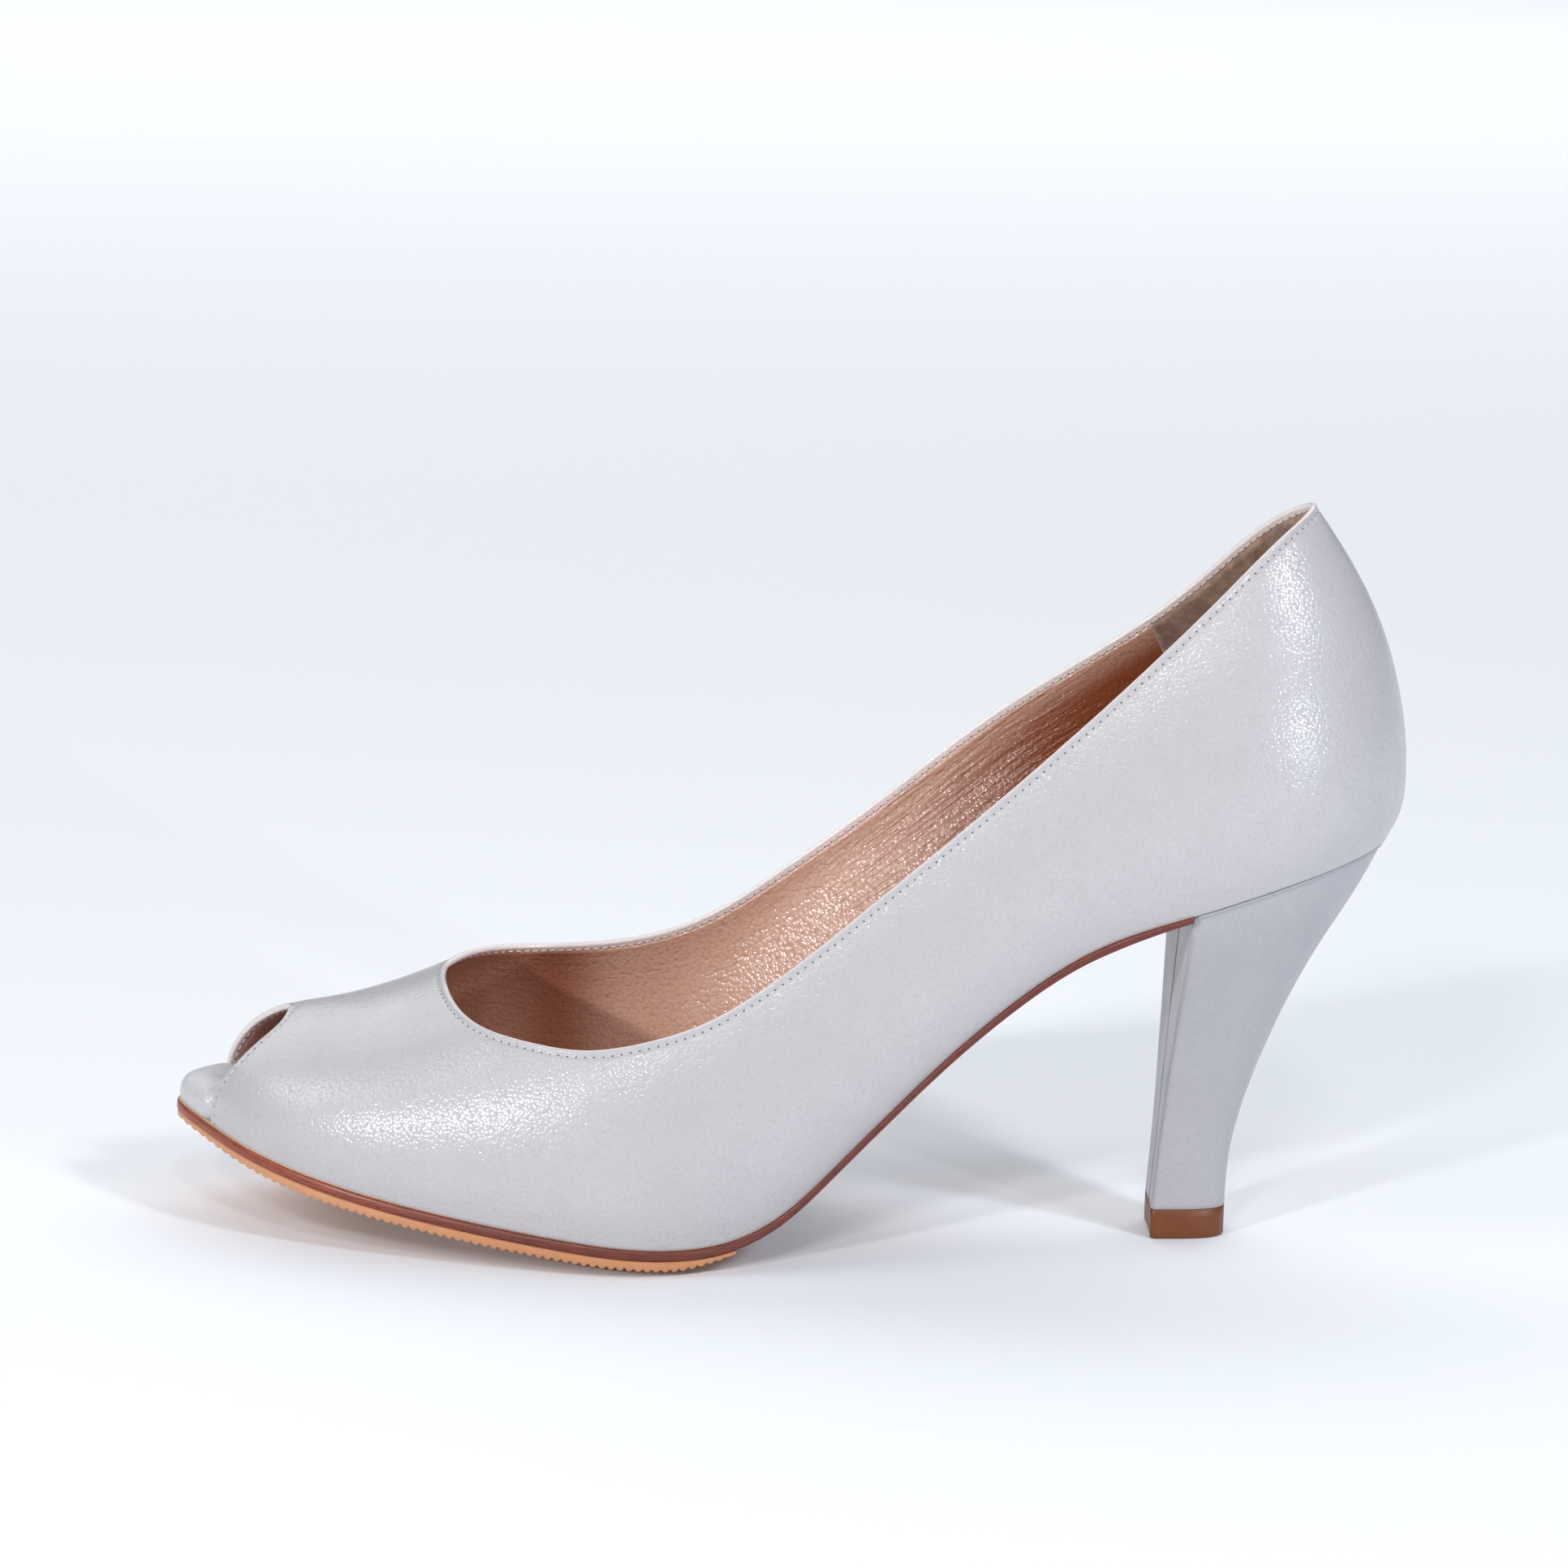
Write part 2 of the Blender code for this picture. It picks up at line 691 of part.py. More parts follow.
def build_top_lift(material):
    """The lift that the heel stands on."""
    middle = 0.5 * (heel_front(0.0) + heel_back(0.0))
    foot = heel_ring(0.0, 0.0)
    shrink = 1.0 - LIFT_BEVEL / heel_half(0.0)
    small = [(middle + (x - middle) * shrink, y * shrink, 0.0) for x, y, _ in foot]
    rings = [small, heel_ring(0.0, LIFT_BEVEL), heel_ring(0.0, LIFT_HEIGHT)]
    return stack("top_lift", rings, material)


def main():
    """Build every piece of the shoe."""
    for old in list(bpy.data.objects):
        bpy.data.objects.remove(old)
    build_outsole(make_material("sole_leather", (0.16, 0.05, 0.028), 0.5))
    build_tread(make_material("tread_rubber", (0.55, 0.26, 0.11), 0.7))
    build_upper(make_material("upper_leather", (0.68, 0.66, 0.67), 0.35))
    build_insole(make_material("insole_leather", (0.45, 0.22, 0.13), 0.5))
    build_toe_cover(make_material("toe_cover_leather", (0.68, 0.66, 0.67), 0.35))
    build_heel(make_material("heel_leather", (0.62, 0.60, 0.62), 0.35))
    build_top_lift(make_material("lift_rubber", (0.28, 0.12, 0.04), 0.5))


main()
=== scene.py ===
"""The looks of a peep-toe court shoe for the left foot.

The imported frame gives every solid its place. This script rebuilds each one as a fine surface from the
sizes of the last, and adds what the solids leave out: rolled edges, lining, suede heel grip, stitches
and the rounded teeth of the tread. Sizes are millimetres from the axis of the heel, with the toe along
-X, the outer side of the foot (lateral) along -Y and the floor at Z = 0. Meshes are made in metres, in
the frame.
"""

from __future__ import annotations

import logging
import math
from dataclasses import dataclass
from enum import Enum
from typing import Any, Callable

import bmesh
import bpy
import numpy as np
from mathutils import Matrix, Vector
from mathutils.bvhtree import BVHTree
from mathutils.kdtree import KDTree

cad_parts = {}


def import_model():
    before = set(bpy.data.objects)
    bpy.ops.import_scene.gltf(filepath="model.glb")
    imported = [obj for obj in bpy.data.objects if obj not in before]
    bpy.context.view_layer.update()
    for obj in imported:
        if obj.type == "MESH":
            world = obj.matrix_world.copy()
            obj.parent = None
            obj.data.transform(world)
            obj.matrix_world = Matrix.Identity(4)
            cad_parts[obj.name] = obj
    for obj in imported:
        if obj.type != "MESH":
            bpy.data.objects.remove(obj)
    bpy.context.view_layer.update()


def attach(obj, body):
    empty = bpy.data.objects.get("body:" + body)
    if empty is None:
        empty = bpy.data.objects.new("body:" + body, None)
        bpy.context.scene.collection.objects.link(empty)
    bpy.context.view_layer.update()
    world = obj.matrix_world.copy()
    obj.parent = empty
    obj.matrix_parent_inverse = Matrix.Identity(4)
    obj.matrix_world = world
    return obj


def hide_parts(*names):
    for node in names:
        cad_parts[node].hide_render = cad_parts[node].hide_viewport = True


log = logging.getLogger("court_shoe")

MM = 0.001
BODY = "root"
SEED = 11
MERGE_MM = 0.001
TINY = 1e-12
# Where the values of one noise, and of two added, mostly lie, as inputs of a Map Range node.
NOISE_RANGE = {"From Min": 0.3, "From Max": 0.7}
TWO_NOISES_RANGE = {"From Min": 0.75, "From Max": 1.25}
# Where the sole and the tread are darkened along the frame's X, from the toe to the ball, as painted shade.
PAINTED_SHADE_X_MM = (-98.0, -48.0)

Row = tuple[float, ...]
Table = tuple[Row, ...]
Grid = tuple[int, int]
EdgeRows = tuple[int, int, float]


class Side(Enum):
    """The two sides of the foot. The value is the sign of Y."""

    LATERAL = -1
    MEDIAL = 1


def linear(code: str) -> tuple[float, float, float, float]:
    """Turn an sRGB hex code into a linear colour.

    Args:
        code: The colour as "#rrggbb".

    Returns:
        Linear red, green, blue and alpha.
    """
    parts = [int(code[i:i + 2], 16) / 255.0 for i in (1, 3, 5)]
    red, green, blue = [p / 12.92 if p <= 0.04045 else ((p + 0.055) / 1.055) ** 2.4 for p in parts]
    return red, green, blue, 1.0


def smooth_step(value: Any, start: Any, end: Any) -> np.ndarray:
    """Give a soft change from 0 at start to 1 at end."""
    share = np.clip((value - start) / (end - start), 0.0, 1.0)
    return share * share * (3.0 - 2.0 * share)


def rise_and_fall(value: Any, places: Row) -> np.ndarray:
    """Give a soft rise from 0 to 1 between the first two places and a fall between the last two."""
    return smooth_step(value, *places[:2]) * (1.0 - smooth_step(value, *places[2:]))


class Curve:
    """A natural cubic curve through the knots of one table column."""

    def __init__(self, places: Any, values: Any) -> None:
        """Work out the bend at every knot.

        Args:
            places: Where the knots stand, in rising order.
            values: What the curve is worth at each knot.
        """
        self.places = np.asarray(places, float)
        self.values = np.asarray(values, float)
        count = len(self.places)
        step = np.diff(self.places)
        slope = np.diff(self.values) / step
        matrix = np.eye(count)
        right = np.zeros(count)
        for i in range(1, count - 1):
            matrix[i, i - 1:i + 2] = step[i - 1], 2.0 * (step[i - 1] + step[i]), step[i]
            right[i] = 6.0 * (slope[i] - slope[i - 1])
        self.bend = np.linalg.solve(matrix, right)

    def __call__(self, place: Any) -> np.ndarray:
        """Read the curve, held level beyond its ends.

        Args:
            place: One place or many.

        Returns:
            What the curve is worth there.
        """
        place = np.clip(place, self.places[0], self.places[-1])
        i = np.clip(np.searchsorted(self.places, place) - 1, 0, len(self.places) - 2)
        width = self.places[i + 1] - self.places[i]
        left = (self.places[i + 1] - place) / width
        right = 1.0 - left
        curved = (left ** 3 - left) * self.bend[i] + (right ** 3 - right) * self.bend[i + 1]
        return left * self.values[i] + right * self.values[i + 1] + curved * width * width / 6.0


def column(table: Table, index: int, place: Callable[[Any], Any] | None = None) -> Curve:
    """Make the curve of one table column.

    Args:
        table: Rows of numbers, the first of each being its place.
        index: The column that is read.
        place: A function that turns the first column into the curve's own places.

    Returns:
        The curve through that column.
    """
    first = np.array([row[0] for row in table])
    return Curve(first if place is None else place(first), [row[index] for row in table])


@dataclass
class Last:
    """The foot form that gives every piece its shape, in millimetres."""

    toe_x: float = -113.0
    heel_x: float = 111.8
    centre_x: float = 0.63
    centre_y: float = 2.12
    throat_x: float = -63.0
    breast_x: float = 74.3
    lowest_collar: float = 0.2
    halvings: int = 50
    small_turn: float = 0.002
    sole_thick: Row = (1.7, 1.5, 0.9)
    waist_x: Row = (-15.0, 15.0)
    breast_thin_x: float = 58.0

    # Featherline from above: x, lateral y, medial y.
    plan_rows: Table = (
        (-113.0, 12.0, 12.0), (-106.5, -0.3, 22.0), (-99.0, -9.5, 27.5), (-84.0, -19.3, 33.0),
        (-62.0, -27.0, 37.5), (-42.0, -32.3, 38.5), (-25.0, -34.0, 36.0), (-5.0, -29.5, 29.0),
        (15.0, -25.0, 21.5), (35.0, -23.4, 18.5), (55.0, -23.3, 19.5), (74.0, -23.5, 22.5),
        (93.0, -20.6, 20.6), (106.0, -12.7, 12.7), (111.8, 0.0, 0.0))
    # Featherline from the side: x, lateral z, medial z, sag of the middle.
    feather_rows: Table = (
        (-113.0, 20.1, 20.1, 0.0), (-100.0, 17.0, 17.0, 0.5), (-85.0, 13.4, 13.4, 0.9),
        (-62.0, 9.3, 9.3, 1.4), (-40.0, 6.6, 6.6, 1.9), (-20.0, 5.0, 5.2, 2.1),
        (-10.0, 5.8, 6.6, 1.9), (-3.0, 8.3, 9.7, 1.5), (3.0, 12.3, 14.0, 1.1),
        (10.0, 18.9, 21.0, 0.8), (20.0, 29.0, 31.2, 0.6), (30.0, 39.0, 41.0, 0.4),
        (40.0, 48.0, 49.5, 0.3), (55.0, 58.8, 59.6, 0.1), (74.0, 66.2, 66.2, 0.0),
        (92.0, 71.8, 71.8, 0.0), (111.8, 77.2, 77.2, 0.0))
    # Ridge over the foot: x, z, y.
    ridge_rows: Table = (
        (-100.0, 35.8, 12.0), (-92.0, 38.4, 11.2), (-84.0, 39.8, 10.6), (-74.0, 42.4, 9.8),
        (-63.0, 46.7, 8.8), (-50.0, 53.0, 7.4), (-36.0, 59.5, 5.8), (-20.0, 67.0, 4.2),
        (-5.0, 77.5, 3.0), (10.0, 91.0, 1.8), (25.0, 104.5, 0.9), (40.0, 116.5, 0.4),
        (55.0, 127.5, 0.1), (71.0, 140.0, 0.0), (86.0, 152.0, 0.0))
    # Fullness of the walls: x, lateral and medial swell, lateral and medial height share of the
    # widest line, lateral and medial power.
    swell_rows: Table = (
        (-113.0, 0.00, 0.00, 0.18, 0.18, 2.10, 2.10), (-85.0, 0.03, 0.03, 0.18, 0.18, 2.10, 2.20),
        (-63.0, 0.04, 0.04, 0.17, 0.17, 2.10, 2.45), (-40.0, 0.04, 0.05, 0.17, 0.17, 2.10, 2.45),
        (-20.0, 0.05, 0.10, 0.18, 0.28, 2.10, 2.45), (10.0, 0.10, 0.34, 0.24, 0.50, 2.05, 2.80),
        (35.0, 0.13, 0.50, 0.27, 0.52, 2.00, 2.80), (55.0, 0.13, 0.36, 0.28, 0.44, 2.00, 2.50),
        (74.0, 0.13, 0.18, 0.28, 0.32, 2.00, 2.15), (93.0, 0.14, 0.14, 0.26, 0.26, 2.00, 2.00),
        (111.8, 0.14, 0.14, 0.22, 0.22, 2.00, 2.00))
    # End profiles in the middle plane: height share, x.
    toe_rows: Table = ((0.0, -113.0), (0.25, -112.4), (0.5, -110.5), (0.75, -106.7), (1.0, -100.0))
    back_rows: Table = (
        (0.0, 111.8), (0.05, 113.75), (0.158, 114.9), (0.25, 114.5), (0.40, 112.4), (0.536, 109.0),
        (0.698, 102.5), (0.82, 96.2), (1.0, 86.0))
    # Edge of the toe opening: height share, lateral and medial share of the length.
    peep_rows: Table = (
        (0.00, 0.0300, 0.0295), (0.15, 0.0286, 0.0292), (0.30, 0.0289, 0.0290), (0.40, 0.0303, 0.0287),
        (0.52, 0.0330, 0.0286), (0.69, 0.0375, 0.0290), (0.81, 0.0405, 0.0293), (0.90, 0.0428, 0.0305),
        (0.95, 0.0426, 0.0330), (1.00, 0.0395, 0.0395))
    # Edge of the collar: x, lateral z, medial z.
    topline_rows: Table = (
        (-63.0, 46.7, 46.7), (-62.3, 46.2, 46.8), (-60.5, 45.0, 47.1), (-57.5, 43.5, 47.2),
        (-53.5, 42.4, 46.9), (-47.5, 41.6, 46.5), (-41.5, 41.1, 46.3), (-35.5, 41.1, 46.5),
        (-24.0, 43.2, 48.4), (-12.0, 47.3, 53.5), (0.0, 54.8, 62.0), (20.0, 71.2, 77.8),
        (40.0, 88.6, 94.2), (60.0, 107.0, 107.9), (78.0, 124.2, 122.6), (89.0, 134.0, 133.8),
        (96.0, 138.8, 138.8))

    def __post_init__(self) -> None:
        """Turn the tables into curves, one for each side where the sides differ."""
        def pair(table: Table, index: int, place: Callable[[Any], Any] | None = None) -> dict[Side, Curve]:
            """Make the curves of two columns, lateral first."""
            return {side: column(table, index + i, place) for i, side in enumerate(Side)}

        self.plan = pair(self.plan_rows, 1, self.turn)
        self.feather = pair(self.feather_rows, 1)
        self.sag = column(self.feather_rows, 3)
        self.ridge_z = column(self.ridge_rows, 1)
        self.ridge_y = column(self.ridge_rows, 2)
        self.swell = pair(self.swell_rows, 1)
        self.widest = pair(self.swell_rows, 3)
        self.power = pair(self.swell_rows, 5)
        self.toe_profile = column(self.toe_rows, 1)
        self.back_profile = column(self.back_rows, 1)
        self.topline = pair(self.topline_rows, 1, self.behind_throat)
        self.peep = pair(self.peep_rows, 1)

    def turn(self, x: Any) -> np.ndarray:
        """Give the angle that stands for x along the shoe, so that both ends come out round."""
        share = (x - self.toe_x) / (self.heel_x - self.toe_x)
        return np.arccos(np.clip(1.0 - 2.0 * share, -1.0, 1.0))

    def behind_throat(self, x: Any) -> np.ndarray:
        """Give the root of the distance behind the throat, so that the throat comes out round."""
        return np.sqrt(np.maximum(0.0, x - self.throat_x))

    def point(self, side: Side, share: Any, height: Any) -> np.ndarray:
        """Give points of the outer face of the upper.

        Args:
            side: The side of the foot.
            share: From 0 at the toe to 1 at the back of the heel.
            height: From 0 at the featherline to 1 at the ridge.

        Returns:
            Points in millimetres, x, y and z in the last axis.
        """
        low_x = self.toe_x + (self.heel_x - self.toe_x) * share
        toe_top, back_top = self.toe_profile(1.0), self.back_profile(1.0)
        high_x = toe_top + (back_top - toe_top) * share
        toe, back = self.toe_profile(height), self.back_profile(height)
        low_z, high_z = self.feather[side](low_x), self.ridge_z(high_x)
        centre = self.ridge_y(high_x)
        full = 1.0 + self.swell[side](low_x)
        reach = (self.plan[side](self.turn(low_x)) - centre) * full
        wide, bend = self.widest[side](low_x), self.power[side](low_x)
        below = 1.0 - (1.0 - 1.0 / full) * np.maximum(0.0, 1.0 - height / wide) ** 2
        rise = np.clip((height - wide) / (1.0 - wide), 0.0, 1.0)
        above = (1.0 - rise ** bend) ** (1.0 / bend)
        spread = np.where(height < wide, below, above)
        return np.stack([toe + (back - toe) * share, centre + reach * spread,
                         low_z + (high_z - low_z) * height], -1)

    def at_column(self, side: Side, along: Any, height: Any) -> np.ndarray:
        """Give points of the upper by their column, from the toe opening (0) to the heel (1)."""
        front = self.peep[side](height)
        return self.point(side, front + (1.0 - front) * along, height)

    def collar_height(self, side: Side, along: np.ndarray) -> np.ndarray:
        """Find where columns meet the edge of the collar.

        Args:
            side: The side of the foot.
            along: Columns, from the toe opening (0) to the heel (1).

        Returns:
            The height share of the edge in each column.
        """
        low = np.full(along.shape, self.lowest_collar)
        high = np.ones(along.shape)
        for _ in range(self.halvings):
            middle = 0.5 * (low + high)
            spot = self.at_column(side, along, middle)
            under = spot[..., 2] < self.topline[side](self.behind_throat(spot[..., 0]))
            low = np.where(under, middle, low)
            high = np.where(under, high, middle)
        return 0.5 * (low + high)

    def throat_column(self) -> float:
        """Find the column that reaches the ridge at the throat.

        Returns:
            Its place, from the toe opening (0) to the heel (1).
        """
        start, end = self.toe_profile(1.0), self.back_profile(1.0)
        share = (self.throat_x - start) / (end - start)
        front = self.peep[Side.LATERAL](1.0)
        return float((share - front) / (1.0 - front))

    def outline(self, side: Side, share: np.ndarray, inset: np.ndarray) -> np.ndarray:
        """Give points of the featherline seen from above.

        Args:
            side: The side of the foot.
            share: From 0 at the toe to 1 at the back of the heel.
            inset: How far each point is moved inwards.

        Returns:
            Points in millimetres, x and y in the last axis.
        """
        angle = np.arccos(1.0 - 2.0 * share)
        length = self.heel_x - self.toe_x
        before = np.maximum(0.0, angle - self.small_turn)
        after = np.minimum(math.pi, angle + self.small_turn)
        run_x = 0.5 * length * (np.cos(before) - np.cos(after))
        run_y = self.plan[side](after) - self.plan[side](before)
        run = np.hypot(run_x, run_y)
        x = self.toe_x + length * share + side.value * inset * run_y / run
        return np.stack([x, self.plan[side](angle) - side.value * inset * run_x / run], -1)

    def share_where(self, side: Side, inset: float, x: float) -> float:
        """Find where an inset outline passes a place along the shoe.

        Args:
            side: The side of the foot.
            inset: How far the outline is moved inwards.
            x: The place, in millimetres.

        Returns:
            The share of the length there.
        """
        low, high = 0.0, 1.0
        for _ in range(self.halvings):
            middle = 0.5 * (low + high)
            if self.outline(side, np.array(middle), np.array(inset))[0] < x:
                low = middle
            else:
                high = middle
        return 0.5 * (low + high)

    def bed(self, x: Any, y: Any) -> np.ndarray:
        """Give the height of the bottom of the last.

        Args:
            x: Places along the shoe.
            y: Places across it.

        Returns:
            Heights in millimetres.
        """
        angle = self.turn(x)
        low_y, high_y = self.plan[Side.LATERAL](angle), self.plan[Side.MEDIAL](angle)
        across = np.clip((2.0 * y - low_y - high_y) / np.maximum(1.0, high_y - low_y), -1.0, 1.0)
        tilt = 0.5 * (1.0 + across)
        edge = self.feather[Side.LATERAL](x) * (1.0 - tilt) + self.feather[Side.MEDIAL](x) * tilt
        return edge - self.sag(x) * (1.0 - across * across)

    def sole(self, x: Any) -> np.ndarray:
        """Give the thickness of the leather sole, thinner in the waist and thinnest at the heel.

        Args:
            x: Places along the shoe.

        Returns:
            Thicknesses in millimetres.
        """
        fore, waist, breast = self.sole_thick
        thick = fore + (waist - fore) * smooth_step(x, *self.waist_x)
        return thick + (breast - waist) * smooth_step(x, self.breast_thin_x, self.breast_x)

    def in_frame(self, points: np.ndarray) -> np.ndarray:
        """Move points from the last's millimetres to the frame's metres."""
        return (np.asarray(points, float) - (self.centre_x, self.centre_y, 0.0)) * MM


LAST = Last()


def make_piece(name: str, points: np.ndarray, faces: list, material: bpy.types.Material,
               uv: np.ndarray | None = None,
               values: dict[str, np.ndarray] | None = None) -> bpy.types.Object:
    """Make a closed, smooth piece from points in millimetres.

    Args:
        name: The piece's name.
        points: Its points, in the last's millimetres.
        faces: Point numbers of each face.
        material: Its finish.
        uv: Two numbers for each point, for a pattern that follows the surface.
        values: Named numbers for each point, for a node tree to read.

    Returns:
        The object, at the origin, with its place in its mesh.
    """
    mesh = bpy.data.meshes.new(name)
    mesh.from_pydata(LAST.in_frame(points).tolist(), [], faces)
    if uv is not None:
        corners = np.empty(len(mesh.loops), np.int32)
        mesh.loops.foreach_get("vertex_index", corners)
        mesh.uv_layers.new(name="surface").data.foreach_set("uv", np.asarray(uv, float)[corners].ravel())
    for key, value in (values or {}).items():
        mesh.attributes.new(key, "FLOAT", "POINT").data.foreach_set("value", np.asarray(value, float))
    build = bmesh.new()
    build.from_mesh(mesh)
    bmesh.ops.remove_doubles(build, verts=build.verts, dist=MERGE_MM * MM)
    bmesh.ops.recalc_face_normals(build, faces=build.faces)
    build.to_mesh(mesh)
    build.free()
    mesh.shade_smooth()
    piece = bpy.data.objects.new(name, mesh)
    bpy.context.scene.collection.objects.link(piece)
    mesh.materials.append(material)
    return piece


def hand_over(piece: bpy.types.Object, slot: str, *nodes: str) -> None:
    """Let a finished piece ride on the shoe's one body and stand for its solids.

    Args:
        piece: The piece.
        slot: The record's material slot; not used.
        nodes: The solids that it replaces.
    """
    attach(piece, BODY)
    if nodes:
        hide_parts(*nodes)
    log.info("%s: %d faces", piece.name, len(piece.data.polygons))


def feed(tree: bpy.types.NodeTree, node: Any, inputs: dict) -> None:
    """Set or link a node's inputs.

    Args:
        tree: The tree that holds the node.
        node: The node.
        inputs: For a socket's name or number, its value or the socket that it is linked from.
    """
    for key, value in inputs.items():
        if isinstance(value, bpy.types.NodeSocket):
            tree.links.new(value, node.inputs[key])
        else:
            node.inputs[key].default_value = value


def add_node(tree: bpy.types.NodeTree, kind: str, inputs: dict | None = None, **settings: Any) -> Any:
    """Add a node with its settings, values and links.

    Args:
        tree: The tree that gets the node.
        kind: The node's type.
        inputs: For a socket's name or number, its value or the socket that it is linked from.
        settings: The node's own properties.

    Returns:
        The node.
    """
    node = tree.nodes.new(kind)
    for name, value in settings.items():
        setattr(node, name, value)
    feed(tree, node, inputs or {})
    return node


def start_material(name: str) -> tuple[bpy.types.NodeTree, Any, Any]:
    """Start a material.

    Args:
        name: The material's name.

    Returns:
        Its node tree, its Principled shader and the socket of Object coordinates.
    """
    material = bpy.data.materials.new(name)
    material.use_nodes = True
    tree = material.node_tree
    shader = tree.nodes["Principled BSDF"]
    place = add_node(tree, "ShaderNodeTexCoord").outputs["Object"]
    return tree, shader, place


def paint_shade_to_ball(tree: bpy.types.NodeTree, place: Any, tone: Any, worn: str) -> Any:
    """Darken a tone from the toe to the ball of the sole, as painted shade.

    Args:
        tree: The material's tree.
        place: The socket of Object coordinates.
        tone: The socket of the colour.
        worn: The colour of the painted shade, that the tone is multiplied by from the ball backwards.

    Returns:
        The socket of the new colour.
    """
    along = add_node(tree, "ShaderNodeSeparateXYZ", {0: place}).outputs["X"]
    start, end = (x * MM for x in PAINTED_SHADE_X_MM)
    ball = add_node(tree, "ShaderNodeMapRange", {"Value": along, "From Min": start, "From Max": end},
                    interpolation_type="SMOOTHSTEP")
    mixed = add_node(tree, "ShaderNodeMix", {0: ball.outputs["Result"], 6: tone, 7: linear(worn)},
                     data_type="RGBA", blend_type="MULTIPLY")
    return mixed.outputs[2]


